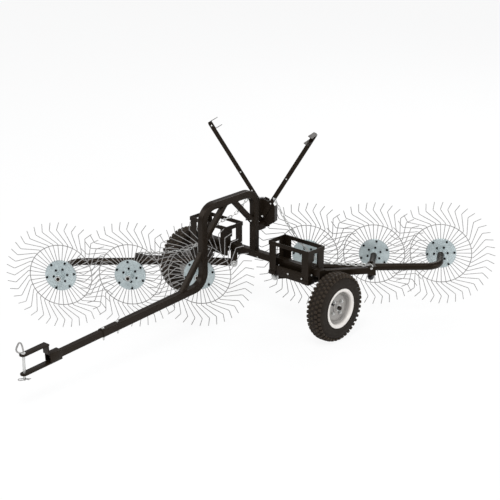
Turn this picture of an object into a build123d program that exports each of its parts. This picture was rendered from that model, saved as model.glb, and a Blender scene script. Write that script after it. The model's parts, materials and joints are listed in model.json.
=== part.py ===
"""Towed six-reel acreage rake, modelled in millimetres.

The origin is on the ground under the middle of the road axle. +Z is up, -Y is forward
towards the hitch, and +X is the machine's left. The right-hand arm, gang, reels and lever
are the left-hand ones turned half a turn about the upright line through the cross bar.
"""
from build123d import *
from math import atan2, cos, degrees, hypot, radians, sin
import os

os.makedirs("parts", exist_ok=True)

# Road wheels
track_width = 1170.0
tyre_radius = 203.0
tyre_width = 104.0
tyre_shoulder_radius = 190.0
tyre_bead_radius = 107.0
tyre_bead_width = 88.0
tyre_wall = 9.0
lug_height = 7.0
lugs_per_row = 22
lug_share = 0.62
rim_radius = 118.0
rim_well_radius = 92.0
rim_wall = 3.0
rim_width = 100.0
rim_dish_depth = 16.0
road_hub_radius = 32.0
road_hub_length = 90.0
road_spindle_radius = 12.7
wheel_fit = 0.5

# Frame
frame_y = -35.0
frame_tube = 42.0
frame_wall = 2.8
leg_clearance = 11.0
cross_bar_z = 398.0
frame_corner = 5.0
leg_width = 50.0
leg_plate = 10.0
cross_bar_half = track_width / 2 - tyre_width / 2 - leg_clearance - leg_plate
arch_front_y = -472.0
arch_top_z = 779.0
arch_bend = 85.0
tongue_rear_y = -620.0
tongue_rear_z = 312.0
tongue_slope = 3.6
splice_y = -1272.0
brace_tube = 30.0
drawbar_tube_end_y = -1600.0
slide_fit = 0.3

# Hitch
collar_length = 93.0
collar_height = 78.0
collar_width = 45.0
strap_width = 45.0
strap_thick = 9.0
hitch_hole_y = -1815.0
hitch_hole = 17.0
upper_strap_z = 322.0
lower_strap_z = 214.0
strap_reach = 23.0
strap_bend_y = -1674.0
hitch_pin = 16.0
hitch_pin_head = 26.0
hitch_pin_below = 36.0
pin_loop_wire = 6.0
hairpin_wire = 4.0

# Weight trays
tray_inner_x = 172.0
tray_gap = 50.0
tray_outer_x = cross_bar_half - tray_gap
tray_front_y = -90.0
tray_rear_y = 42.0
tray_top_z = 531.0
tray_plate = 3.0
skirt_height = 72.0
post_leg = 50.0
bracket_notch = 92.0
rim_bar = 24.0

# Arms and gangs
reel_z = 325.0
arm_pivot_x = 162.7
beam_angle = 43.4
arm_offset = 49.0
arm_length = 567.0
arm_tube = 38.0
arm_pivot_z = 297.0
arm_bolt = 16.0
ear_reach = 20.0
bracket_plate = 8.0
beam_radius = 21.2
reel_spacing = 402.0
spindle_length = 229.0
spindle_turn = 80.0
beam_bend = 92.0
fork_half_width = 22.0
fork_plate = 6.0
fork_fit = 1.0
swing_pin = 16.0
knob_radius = 19.0
joint_fit = 6.0

# Reels
tine_count = 40
tine_wire = 5.0
tine_inner_radius = 84.0
tine_bend_share = 0.594
tine_knee_share = 0.856
tine_knee_turn = 18.0
tine_tip_turn = 15.0
ring_share = 0.566
ring_wire = 6.0
disc_radius = 92.0
disc_plate = 3.0
disc_holes = 6
disc_hole = 12.0
disc_pitch_radius = 82.0
hub_radius = 23.0
hub_proud = 62.0
hub_back = 34.0
axle_radius = 10.0
axle_proud = 6.0

# Lever stand, sector and levers
lever_pivot_y = 55.5
lever_pivot_z = 611.0
lever_plane_angle = 18.0
lever_length = 635.0
lever_below = 16.0
lever_lean_left = 31.2
lever_lean_right = 35.6
lever_width = 26.0
lever_thick = 6.0
lever_gap = 5.0
lever_bolt = 10.0
sector_half_depth = 20.0
sector_plate = 4.0
sector_foot = -76.0
stand_top = -40.0
notch_count = 5
notch_radius = 106.0
notch_pitch = 6.0
notch_width = 5.0
notch_depth = 9.0
handle_length = 54.0
handle_reach = 88.0
handle_plate = 3.0

# Lift chains
chain_wire = 4.6
chain_pitch = 24.0
chain_width = 17.0

# Shares that set one size from another
bolt_head_share = 0.6
bolt_hex_share = 0.85
spindle_share = 0.9
link_bite = 0.5

overrun = 2.0


def half_turn(shape):
    """Turn a left-hand piece half a turn about the upright line through the cross bar."""
    return shape.rotate(Axis((0, frame_y, 0), (0, 0, 1)), 180)


def save(part, name):
    part.label = name
    export_step(part, f"parts/{name}.step")


# Cross bar, an axle beam of square tube across the machine
with BuildPart() as cross_bar:
    with BuildSketch(Plane.YZ.offset(-cross_bar_half)) as bar_section:
        with Locations((frame_y, cross_bar_z)):
            RectangleRounded(frame_tube, frame_tube, frame_corner)
            Rectangle(frame_tube - 2 * frame_wall, frame_tube - 2 * frame_wall, mode=Mode.SUBTRACT)
    extrude(amount=2 * cross_bar_half)
save(cross_bar.part, "cross_bar")

# Axle legs, each a plate that drops from the end of the cross bar and holds the wheel's spindle
wheel_x = track_width / 2
leg_top_z = cross_bar_z + frame_tube / 2
spindle_end_x = wheel_x + road_hub_length / 2
with BuildPart() as axle_leg_left:
    with BuildSketch(Plane.YZ.offset(cross_bar_half)) as leg_outline:
        with BuildLine():
            Polyline(
                (frame_y - leg_width / 2, leg_top_z),
                (frame_y + leg_width / 2, leg_top_z),
                (leg_width / 2, tyre_radius + leg_width),
                (leg_width / 2, tyre_radius),
                (-leg_width / 2, tyre_radius),
                (frame_y - leg_width / 2, cross_bar_z - frame_tube),
                close=True,
            )
        make_face()
        with Locations((0, tyre_radius)):
            Circle(leg_width / 2)
    extrude(amount=leg_plate)
    with BuildSketch(Plane.YZ.offset(cross_bar_half)) as spindle_section:
        with Locations((0, tyre_radius)):
            Circle(road_spindle_radius)
    extrude(amount=spindle_end_x - cross_bar_half)
save(axle_leg_left.part, "axle_leg_left")
save(mirror(axle_leg_left.part, Plane.YZ), "axle_leg_right")

# Arch, one bent tube from the drawbar over the middle reel and down to the cross bar
slope_rise = sin(radians(tongue_slope))
slope_run = cos(radians(tongue_slope))
drawbar_run = tongue_rear_y - splice_y
splice_z = tongue_rear_z - drawbar_run * slope_rise / slope_run
arch_foot_z = cross_bar_z + frame_tube / 2
arch_start = Plane(
    origin=(0, splice_y, splice_z), x_dir=(1, 0, 0), z_dir=(0, slope_run, slope_rise)
)
corner_y = arch_front_y
corner_z = tongue_rear_z + (arch_front_y - tongue_rear_y) * slope_rise / slope_run
with BuildPart() as arch:
    with BuildLine() as arch_path:
        FilletPolyline(
            (0, splice_y, splice_z),
            (0, corner_y, corner_z),
            (0, arch_front_y, arch_top_z),
            (0, frame_y, arch_top_z),
            (0, frame_y, arch_foot_z),
            radius=arch_bend,
        )
    with BuildSketch(arch_start) as arch_section:
        RectangleRounded(frame_tube, frame_tube, frame_corner)
        Rectangle(frame_tube - 2 * frame_wall, frame_tube - 2 * frame_wall, mode=Mode.SUBTRACT)
    sweep(path=arch_path.wire())
save(arch.part, "arch")

# Corner braces of the arch, in the arch's own plane: start point, end point
brace_table = [
    ("brace_lower", (-652.0, 318.0), (-480.0, 522.0)),
    ("brace_front", (-452.0, 590.0), (-280.0, 772.0)),
    ("brace_rear", (-225.0, 772.0), (-50.0, 596.0)),
]
with BuildPart() as arch_solid:
    with BuildSketch(arch_start) as arch_solid_section:
        Rectangle(frame_tube, frame_tube)
    sweep(path=arch_path.wire())
for brace_name, (start_y, start_z), (end_y, end_z) in brace_table:
    run = hypot(end_y - start_y, end_z - start_z)
    brace_plane = Plane(
        origin=(0, start_y, start_z),
        x_dir=(1, 0, 0),
        z_dir=(0, end_y - start_y, end_z - start_z),
    )
    with BuildPart() as brace:
        with BuildSketch(brace_plane):
            RectangleRounded(brace_tube, brace_tube, frame_corner)
        extrude(amount=run)
        add(arch_solid.part, mode=Mode.SUBTRACT)
    save(brace.part.solids().sort_by(SortBy.VOLUME)[-1], brace_name)

# Drawbar, a smaller tube that slides into the arch tube and is bolted there
drawbar_tube = frame_tube - 2 * frame_wall - 2 * slide_fit
drawbar_overlap = 170.0
drawbar_wall = 3.0


def drawbar_z(y):
    """Height of the drawbar's centre line at a place along the machine."""
    return tongue_rear_z + (y - tongue_rear_y) * slope_rise / slope_run


drawbar_back_y = splice_y + drawbar_overlap
drawbar_plane = Plane(
    origin=(0, drawbar_tube_end_y, drawbar_z(drawbar_tube_end_y)),
    x_dir=(1, 0, 0),
    z_dir=(0, slope_run, slope_rise),
)
drawbar_length = (drawbar_back_y - drawbar_tube_end_y) / slope_run
with BuildPart() as drawbar:
    with BuildSketch(drawbar_plane):
        RectangleRounded(drawbar_tube, drawbar_tube, frame_corner - frame_wall)
        Rectangle(
            drawbar_tube - 2 * drawbar_wall, drawbar_tube - 2 * drawbar_wall, mode=Mode.SUBTRACT
        )
    extrude(amount=drawbar_length)
save(drawbar.part, "drawbar")

# Hitch: a collar on the drawbar's end with an upper and a lower strap, and a pin between them
collar_back_y = drawbar_tube_end_y + collar_length / 2
collar_front_y = collar_back_y - collar_length
collar_z = drawbar_z(drawbar_tube_end_y)
collar_top_z = collar_z + collar_height / 2
collar_bottom_z = collar_z - collar_height / 2
with BuildPart() as hitch_collar:
    with BuildSketch(Plane.XZ.offset(-collar_back_y)):
        with Locations((0, collar_z)):
            RectangleRounded(collar_width, collar_height, frame_corner)
    extrude(amount=collar_length)
    with BuildSketch(drawbar_plane.offset(-overrun)):
        Rectangle(drawbar_tube + 2 * slide_fit, drawbar_tube + 2 * slide_fit)
    extrude(amount=collar_length + 2 * overrun, mode=Mode.SUBTRACT)
save(hitch_collar.part, "hitch_collar")


def strap(points, hole_z):
    """Flat bar bent in the machine's middle plane, with a round end and a pin hole."""
    with BuildPart() as bar:
        with BuildSketch(Plane.YZ.offset(-strap_width / 2)):
            with BuildLine():
                Polyline(*points, close=True)
            make_face()
        extrude(amount=strap_width)
        with BuildSketch(Plane.XY.offset(hole_z - strap_thick)) as round_end:
            with Locations((0, hitch_hole_y)):
                Rectangle(strap_width + overrun, strap_width + overrun, align=(Align.CENTER, Align.MAX))
                Circle(strap_width / 2, mode=Mode.SUBTRACT)
        extrude(amount=2 * strap_thick, mode=Mode.SUBTRACT)
        with BuildSketch(Plane.XY.offset(hole_z - strap_thick)):
            with Locations((0, hitch_hole_y)):
                Circle(hitch_hole / 2)
        extrude(amount=2 * strap_thick, mode=Mode.SUBTRACT)
    return bar.part


strap_front_y = hitch_hole_y - strap_reach
upper_top = upper_strap_z + strap_thick / 2
upper_low = upper_strap_z - strap_thick / 2
upper_strap = strap(
    [
        (strap_front_y, upper_top),
        (strap_bend_y, upper_top),
        (collar_front_y + strap_thick, collar_top_z + strap_thick),
        (collar_back_y, collar_top_z + strap_thick),
        (collar_back_y, collar_top_z),
        (collar_front_y, collar_top_z),
        (strap_bend_y - strap_thick / 2, upper_low),
        (strap_front_y, upper_low),
    ],
    upper_strap_z,
)
save(upper_strap, "hitch_upper_strap")
lower_strap = strap(
    [
        (strap_front_y, lower_strap_z + strap_thick / 2),
        (strap_bend_y, lower_strap_z + strap_thick / 2),
        (collar_front_y, collar_bottom_z),
        (collar_back_y, collar_bottom_z),
        (collar_back_y, collar_bottom_z - strap_thick),
        (collar_front_y, collar_bottom_z - strap_thick),
        (strap_bend_y, lower_strap_z - strap_thick / 2),
        (strap_front_y, lower_strap_z - strap_thick / 2),
    ],
    lower_strap_z,
)
save(lower_strap, "hitch_lower_strap")

pin_top_z = upper_top
pin_bottom_z = lower_strap_z - hitch_pin_below
with BuildPart() as pin_piece:
    with BuildSketch(Plane.XY.offset(pin_bottom_z)):
        with Locations((0, hitch_hole_y)):
            Circle(hitch_pin / 2)
    extrude(amount=pin_top_z - pin_bottom_z)
    with BuildSketch(Plane.XY.offset(pin_top_z)):
        with Locations((0, hitch_hole_y)):
            Circle(hitch_pin_head / 2)
    extrude(amount=pin_loop_wire)
    with BuildSketch(Plane.XZ.offset(-hitch_hole_y)) as loop_outline:
        with Locations((0, pin_top_z + pin_loop_wire / 2 + hitch_pin_head)):
            Circle(hitch_pin_head)
            Circle(hitch_pin_head - pin_loop_wire, mode=Mode.SUBTRACT)
    extrude(amount=pin_loop_wire / 2, both=True)
save(pin_piece.part, "hitch_pin")

with BuildPart() as hairpin:
    hairpin_z = pin_bottom_z + hitch_pin / 2
    with BuildSketch(Plane.XY.offset(hairpin_z - hairpin_wire / 2)):
        with Locations((0, hitch_hole_y)):
            with Locations((hitch_pin / 2 + hairpin_wire / 2 + slide_fit, 0)):
                Rectangle(hairpin_wire, 2 * hitch_pin_head)
        with Locations((hitch_pin / 2 + hairpin_wire / 2 + slide_fit + hairpin_wire * 2, hitch_hole_y)):
            with Locations((0, -hitch_pin_head)):
                Circle(hairpin_wire * 2.5)
                Circle(hairpin_wire * 1.5, mode=Mode.SUBTRACT)
    extrude(amount=hairpin_wire)
save(hairpin.part.solids().sort_by(SortBy.VOLUME)[-1], "hitch_hairpin")

# Weight trays, each a deck folded down over the cross bar with four corner posts and a top rail
deck_z = cross_bar_z + frame_tube / 2
tray_width = tray_outer_x - tray_inner_x
tray_depth = tray_rear_y - tray_front_y
post_low_z = deck_z + tray_plate - skirt_height
bracket_top_z = cross_bar_z - frame_tube / 2
tray_mid_x = (tray_outer_x + tray_inner_x) / 2
tray_mid_y = (tray_rear_y + tray_front_y) / 2
with BuildPart() as tray_deck_left:
    with BuildSketch(Plane.XY.offset(deck_z + tray_plate - skirt_height)):
        with Locations((tray_mid_x, tray_mid_y)):
            RectangleRounded(tray_width, tray_depth, 2 * tray_plate)
    extrude(amount=skirt_height)
    with BuildSketch(Plane.XY.offset(deck_z - skirt_height - overrun)):
        with Locations((tray_mid_x, tray_mid_y)):
            RectangleRounded(tray_width - 2 * tray_plate, tray_depth - 2 * tray_plate, tray_plate)
    extrude(amount=skirt_height + overrun, mode=Mode.SUBTRACT)
    with BuildSketch(Plane.YZ.offset(tray_inner_x - overrun)):
        with Locations((frame_y, deck_z)):
            Rectangle(frame_tube, 2 * frame_tube)
    extrude(amount=tray_width + 2 * overrun, mode=Mode.SUBTRACT)
    with BuildSketch(Plane.YZ.offset(tray_inner_x - overrun)):
        with Locations((frame_y, post_low_z)):
            Rectangle(bracket_notch, 2 * (bracket_top_z - post_low_z))
    extrude(amount=tray_plate + 2 * overrun, mode=Mode.SUBTRACT)
    with BuildSketch(Plane.XY.offset(deck_z)):
        with Locations((tray_mid_x, tray_mid_y)):
            Rectangle(tray_width - 2 * tray_plate, tray_depth - 2 * tray_plate)
    extrude(amount=tray_plate)
save(tray_deck_left.part, "tray_deck_left")
save(mirror(tray_deck_left.part, Plane.YZ), "tray_deck_right")

with BuildPart() as tray_rack_left:
    for side_x, turn_x in ((tray_inner_x, 1), (tray_outer_x, -1)):
        for side_y, turn_y in ((tray_front_y, 1), (tray_rear_y, -1)):
            with BuildSketch(Plane.XY.offset(post_low_z)):
                with Locations((side_x - turn_x * tray_plate, side_y - turn_y * tray_plate)):
                    align_x = Align.MIN if turn_x > 0 else Align.MAX
                    align_y = Align.MIN if turn_y > 0 else Align.MAX
                    Rectangle(post_leg, tray_plate, align=(align_x, align_y))
                    Rectangle(tray_plate, post_leg, align=(align_x, align_y))
            extrude(amount=tray_top_z - post_low_z)
    with BuildSketch(Plane.YZ.offset(tray_inner_x - 2 * tray_plate)):
        with Locations((frame_y, deck_z)):
            Rectangle(frame_tube, 2 * frame_tube)
    extrude(amount=tray_width + 4 * tray_plate, mode=Mode.SUBTRACT)
    with BuildSketch(Plane.YZ.offset(tray_inner_x - 2 * tray_plate)):
        with Locations((frame_y, post_low_z)):
            Rectangle(bracket_notch, 2 * (bracket_top_z - post_low_z))
    extrude(amount=4 * tray_plate, mode=Mode.SUBTRACT)
    with BuildSketch(Plane.XY.offset(tray_top_z - rim_bar)):
        with Locations((tray_mid_x, tray_mid_y)):
            Rectangle(tray_width + 4 * tray_plate, tray_depth + 4 * tray_plate)
            Rectangle(tray_width + 2 * tray_plate, tray_depth + 2 * tray_plate, mode=Mode.SUBTRACT)
    extrude(amount=rim_bar)
save(tray_rack_left.part, "tray_rack_left")
save(mirror(tray_rack_left.part, Plane.YZ), "tray_rack_right")

# Arm geometry in plan
beam_x = cos(radians(beam_angle))
beam_y = sin(radians(beam_angle))
arm_pivot_y = frame_y
joint_x = arm_pivot_x + arm_length * beam_x - arm_offset * beam_y
joint_y = arm_pivot_y + arm_length * beam_y + arm_offset * beam_x
arm_rise = reel_z - arm_pivot_z
arm_pitch = degrees(atan2(arm_rise, arm_length))
pivot_plane = Plane(
    origin=(arm_pivot_x, arm_pivot_y, arm_pivot_z),
    x_dir=(beam_x, beam_y, 0),
    z_dir=(beam_y, -beam_x, 0),
)

# Pivot bracket under the cross bar, two ears with a web that meets the bar
ear_gap = arm_tube / 2 + joint_fit / 2
with BuildPart() as arm_bracket_left:
    with BuildSketch(Plane.XY.offset(bracket_top_z)) as bracket_base:
        with Locations(Location((arm_pivot_x, arm_pivot_y, 0), (0, 0, beam_angle))):
            Rectangle(2 * ear_reach, 2 * (ear_gap + bracket_plate))
    extrude(amount=-bracket_plate)
    for side in (1, -1):
        offset_out = ear_gap if side > 0 else -ear_gap - bracket_plate
        with BuildSketch(pivot_plane.offset(offset_out)):
            with BuildLine():
                Polyline(
                    (-ear_reach, bracket_top_z - arm_pivot_z),
                    (ear_reach, bracket_top_z - arm_pivot_z),
                    (ear_reach, 0),
                    (-ear_reach, 0),
                    close=True,
                )
            make_face()
            Circle(ear_reach)
        extrude(amount=bracket_plate)
    with BuildSketch(pivot_plane.offset(-ear_gap - bracket_plate - overrun)):
        Circle(arm_bolt / 2 + slide_fit)
    extrude(amount=2 * (ear_gap + bracket_plate + overrun), mode=Mode.SUBTRACT)
save(arm_bracket_left.part, "arm_bracket_left")
save(half_turn(arm_bracket_left.part), "arm_bracket_right")

bolt_head = arm_bolt * bolt_head_share
bolt_half = ear_gap + bracket_plate + slide_fit
with BuildPart() as arm_pivot_bolt_left:
    with BuildSketch(pivot_plane.offset(-bolt_half)):
        Circle(arm_bolt / 2)
    extrude(amount=2 * bolt_half)
    for side in (-1, 1):
        head_start = bolt_half if side > 0 else -bolt_half - bolt_head
        with BuildSketch(pivot_plane.offset(head_start)):
            RegularPolygon(arm_bolt * bolt_hex_share, 6)
        extrude(amount=bolt_head)
save(arm_pivot_bolt_left.part, "arm_pivot_bolt_left")
save(half_turn(arm_pivot_bolt_left.part), "arm_pivot_bolt_right")

# Arm, a square tube with an eye at the frame and a fork over the gang beam
pitch_rise = sin(radians(arm_pitch))
pitch_run = cos(radians(arm_pitch))
arm_axis = Vector(beam_x * pitch_run, beam_y * pitch_run, pitch_rise)
arm_base = Plane(
    origin=(arm_pivot_x, arm_pivot_y, arm_pivot_z), x_dir=(-beam_y, beam_x, 0), z_dir=arm_axis
)
arm_start = ear_reach + joint_fit
fork_half = beam_radius + fork_fit
with BuildPart() as arm_left:
    with BuildSketch(arm_base.offset(arm_start)):
        RectangleRounded(arm_tube, arm_tube, frame_corner)
    extrude(amount=hypot(arm_length, arm_rise) + fork_half_width - arm_start)
    with BuildSketch(pivot_plane.offset(-arm_tube / 2)):
        Circle(ear_reach)
        with Locations((arm_start / 2, 0)):
            Rectangle(arm_start + 2 * overrun, arm_tube - 2 * overrun)
    extrude(amount=arm_tube)
    for fork_z in (reel_z + fork_half, reel_z - fork_half - fork_plate):
        fork_plane = Plane(origin=(joint_x, joint_y, fork_z), x_dir=(beam_x, beam_y, 0))
        with BuildSketch(fork_plane):
            with Locations((0, -(arm_offset + arm_tube / 2) / 2)):
                Rectangle(2 * fork_half_width, arm_offset + arm_tube / 2)
            Circle(fork_half_width)
        extrude(amount=fork_plate)
    with BuildSketch(
        Plane(origin=(joint_x, joint_y, reel_z - fork_half), x_dir=(beam_x, beam_y, 0), z_dir=(0, 0, 1))
    ):
        with Locations((0, -arm_offset)):
            Rectangle(2 * fork_half_width, arm_tube)
    extrude(amount=2 * fork_half)
    with BuildSketch(pivot_plane.offset(-arm_tube)):
        Circle(arm_bolt / 2 + slide_fit)
    extrude(amount=2 * arm_tube, mode=Mode.SUBTRACT)
    with BuildSketch(Plane.XY.offset(reel_z - 2 * fork_half)):
        with Locations((joint_x, joint_y)):
            Circle(swing_pin / 2 + slide_fit)
    extrude(amount=4 * fork_half, mode=Mode.SUBTRACT)
save(arm_left.part, "arm_left")
save(half_turn(arm_left.part), "arm_right")

# Gang beam, a round tube whose two ends are bent sideways into reel spindles
gang_plane = Plane(origin=(joint_x, joint_y, reel_z), x_dir=(beam_x, beam_y, 0), z_dir=(0, 0, 1))
turn_x = cos(radians(spindle_turn))
turn_y = sin(radians(spindle_turn))
spindle_tube_end = spindle_length - hub_back


def gang_point(x, y, z=0.0):
    return gang_plane.from_local_coords((x, y, z))


beam_ends = [
    gang_point(-reel_spacing + spindle_tube_end * turn_x, spindle_tube_end * turn_y),
    gang_point(-reel_spacing, 0),
    gang_point(reel_spacing, 0),
    gang_point(reel_spacing + spindle_tube_end * turn_x, spindle_tube_end * turn_y),
]
spindle_dir = gang_plane.from_local_coords(Vector(turn_x, turn_y, 0)) - gang_plane.origin
with BuildPart() as gang_beam_left:
    with BuildLine() as beam_path:
        FilletPolyline(*beam_ends, radius=beam_bend)
    with BuildSketch(Plane(origin=beam_ends[0], z_dir=-spindle_dir)):
        Circle(beam_radius)
    sweep(path=beam_path.wire())
    with BuildSketch(Plane(origin=gang_plane.origin, z_dir=spindle_dir)):
        Circle(beam_radius * spindle_share)
    extrude(amount=spindle_tube_end)
    with BuildSketch(Plane.XY.offset(reel_z - 2 * beam_radius)):
        with Locations((joint_x, joint_y)):
            Circle(swing_pin / 2 + slide_fit)
    extrude(amount=4 * beam_radius, mode=Mode.SUBTRACT)
    for step in (-1, 0, 1):
        axle_root = gang_point(step * reel_spacing, 0) + spindle_dir * (spindle_tube_end - hub_back)
        with BuildSketch(Plane(origin=axle_root, z_dir=spindle_dir)):
            Circle(axle_radius)
        extrude(amount=2 * hub_back + hub_proud + axle_proud)
save(gang_beam_left.part, "gang_beam_left")
save(half_turn(gang_beam_left.part), "gang_beam_right")

# Swing pin through the fork and the beam, with a ball knob below
pin_half = fork_half + fork_plate
with BuildPart() as swing_pin_left:
    with BuildSketch(Plane.XY.offset(reel_z - pin_half - 2 * knob_radius)):
        with Locations((joint_x, joint_y)):
            Circle(swing_pin / 2)
    extrude(amount=2 * pin_half + 2 * knob_radius)
    with BuildSketch(Plane.XY.offset(reel_z + pin_half)):
        with Locations((joint_x, joint_y)):
            RegularPolygon(swing_pin * bolt_hex_share, 6)
    extrude(amount=bolt_head)
    with Locations((joint_x, joint_y, reel_z - pin_half - 2 * knob_radius)):
        Sphere(knob_radius)
save(swing_pin_left.part, "swing_pin_left")
save(half_turn(swing_pin_left.part), "swing_pin_right")

# Reels: forty bent tines clamped on a drilled disc, with a ring that ties them together
tip_radius = reel_z
tine_half = tine_wire / 2
bend_radius = tine_bend_share * tip_radius
knee_radius = tine_knee_share * tip_radius


def polar(radius, angle):
    return (radius * cos(radians(angle)), radius * sin(radians(angle)))


def strip(points, half):
    """Outline of a bent bar of even width whose middle line runs through the points."""
    left = []
    right = []
    for index, (x, y) in enumerate(points):
        before = points[max(index - 1, 0)]
        after = points[min(index + 1, len(points) - 1)]
        in_angle = atan2(y - before[1], x - before[0]) if index else None
        out_angle = atan2(after[1] - y, after[0] - x) if index < len(points) - 1 else None
        in_angle = out_angle if in_angle is None else in_angle
        out_angle = in_angle if out_angle is None else out_angle
        middle = (in_angle + out_angle) / 2
        reach = half / cos((out_angle - in_angle) / 2)
        left.append((x - reach * sin(middle), y + reach * cos(middle)))
        right.append((x + reach * sin(middle), y - reach * cos(middle)))
    return left + right[::-1]



def tine_line(sense):
    """Middle line of one tine, bent one way or the other round the reel."""
    return [
        polar(tine_inner_radius, 0),
        polar(bend_radius, 0),
        polar(knee_radius, sense * tine_knee_turn),
        polar(tip_radius - tine_half * sin(radians(tine_tip_turn)), sense * tine_tip_turn),
    ]


def reel_plane(step):
    """Plane of a left-hand reel: its middle, with the spindle's direction as its normal."""
    middle = gang_point(step * reel_spacing, 0) + spindle_dir * spindle_length
    return Plane(origin=middle, x_dir=(-spindle_dir.Y, spindle_dir.X, 0), z_dir=spindle_dir)


def make_reel(plane, sense):
    """Tines bent one way round, their disc with its hub, and the ring behind them."""
    tine_plane = plane.offset(-tine_half)
    with BuildSketch() as tine_face:
        with BuildLine():
            Polyline(*strip(tine_line(sense), tine_half), close=True)
        make_face()
    with BuildPart() as tines:
        with BuildSketch(tine_plane):
            with PolarLocations(0, tine_count, start_angle=-90 - sense * tine_tip_turn):
                add(tine_face.sketch)
        extrude(amount=tine_wire)
    with BuildPart() as hub:
        for level in (tine_half, -tine_half - disc_plate):
            with BuildSketch(plane.offset(level)):
                Circle(disc_radius)
                with PolarLocations(disc_pitch_radius, disc_holes):
                    Circle(disc_hole / 2, mode=Mode.SUBTRACT)
                Circle(hub_radius - overrun, mode=Mode.SUBTRACT)
            extrude(amount=disc_plate)
        with BuildSketch(plane.offset(-hub_back)):
            Circle(hub_radius)
            Circle(axle_radius + wheel_fit, mode=Mode.SUBTRACT)
        extrude(amount=hub_back + hub_proud)
    with BuildPart() as ring:
        with BuildSketch(plane.offset(-tine_half - ring_wire)):
            Circle(ring_share * tip_radius + ring_wire / 2)
            Circle(ring_share * tip_radius - ring_wire / 2, mode=Mode.SUBTRACT)
        extrude(amount=ring_wire)
    return tines.part, hub.part, ring.part


reel_table = [("inner", -1), ("middle", 0), ("outer", 1)]
for reel_name, step in reel_table:
    for side_name, sense in (("left", -1), ("right", 1)):
        tines, hub, ring = make_reel(reel_plane(step), sense)
        if side_name == "right":
            tines, hub, ring = half_turn(tines), half_turn(hub), half_turn(ring)
        save(tines, f"reel_tines_{side_name}_{reel_name}")
        save(hub, f"reel_hub_{side_name}_{reel_name}")
        save(ring, f"reel_ring_{side_name}_{reel_name}")

# Lever stand on the arch's rear post, and two notched sector plates with the levers outside them
plane_x = cos(radians(lever_plane_angle))
plane_y = sin(radians(lever_plane_angle))
lever_plane = Plane(
    origin=(0, lever_pivot_y, lever_pivot_z), x_dir=(plane_x, plane_y, 0), z_dir=(plane_y, -plane_x, 0)
)
sector_points = [
    (-24.0, sector_foot),
    (6.0, sector_foot),
    (73.0, -31.0),
    (73.0, 66.0),
    (58.0, 88.0),
    (42.0, 98.0),
    (0.0, 104.0),
    (-24.0, 96.0),
]
notch_arc = (notch_count - 1) * notch_pitch
sector_side_u = 73.0
sector_side_low = -31.0
sector_side_high = 66.0


def turn_lever(shape):
    """Turn a piece of the left-hand lever half a turn about the upright line through the pivot."""
    return shape.rotate(Axis((0, lever_pivot_y, 0), (0, 0, 1)), 180)


with BuildPart() as sector_side:
    with BuildSketch(lever_plane.offset(sector_half_depth - sector_plate)):
        with BuildLine():
            Polyline(*sector_points, close=True)
        make_face()
        with PolarLocations(
            notch_radius, notch_count, start_angle=90 - notch_arc, angular_range=notch_arc
        ):
            Rectangle(2 * notch_depth, notch_width, mode=Mode.SUBTRACT)
        Circle(lever_bolt / 2 + slide_fit, mode=Mode.SUBTRACT)
    extrude(amount=sector_plate)
    with BuildSketch(lever_plane.offset(-sector_half_depth)):
        with Locations((sector_side_u, (sector_side_low + sector_side_high) / 2)):
            Rectangle(sector_plate, sector_side_high - sector_side_low, align=(Align.MAX, Align.CENTER))
    extrude(amount=2 * sector_half_depth - sector_plate)
with BuildPart() as lever_sector:
    add(sector_side.part)
    add(turn_lever(sector_side.part))
    with BuildSketch(lever_plane.offset(-sector_half_depth + sector_plate)):
        Circle(lever_bolt)
        Circle(lever_bolt / 2 + slide_fit, mode=Mode.SUBTRACT)
    extrude(amount=2 * (sector_half_depth - sector_plate))
save(lever_sector.part, "lever_sector")

stand_front_y = frame_y + frame_tube / 2
stand_low = lever_pivot_z + sector_foot
stand_high = lever_pivot_z + stand_top
with BuildPart() as lever_stand:
    with BuildSketch(Plane.XY.offset(stand_low)):
        Polygon(
            (-frame_tube / 2, stand_front_y),
            (frame_tube / 2, stand_front_y),
            (frame_tube / 2, lever_pivot_y),
            (-frame_tube / 2, lever_pivot_y),
            align=None,
        )
    extrude(amount=stand_high - stand_low)
    with BuildSketch(lever_plane.offset(sector_half_depth)):
        Rectangle(4 * frame_tube, 8 * frame_tube)
    extrude(amount=-2 * lever_pivot_y, mode=Mode.SUBTRACT)
save(lever_stand.part, "lever_stand")

lever_start = sector_half_depth + lever_gap
pin_half_length = lever_start + lever_thick + slide_fit
lever_head = lever_bolt * bolt_head_share
with BuildPart() as lever_pivot_bolt:
    with BuildSketch(lever_plane.offset(-pin_half_length)):
        Circle(lever_bolt / 2)
    extrude(amount=2 * pin_half_length)
    for head_start in (pin_half_length, -pin_half_length - lever_head):
        with BuildSketch(lever_plane.offset(head_start)):
            RegularPolygon(lever_bolt * bolt_hex_share, 6)
        extrude(amount=lever_head)
save(lever_pivot_bolt.part, "lever_pivot_bolt")


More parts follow.
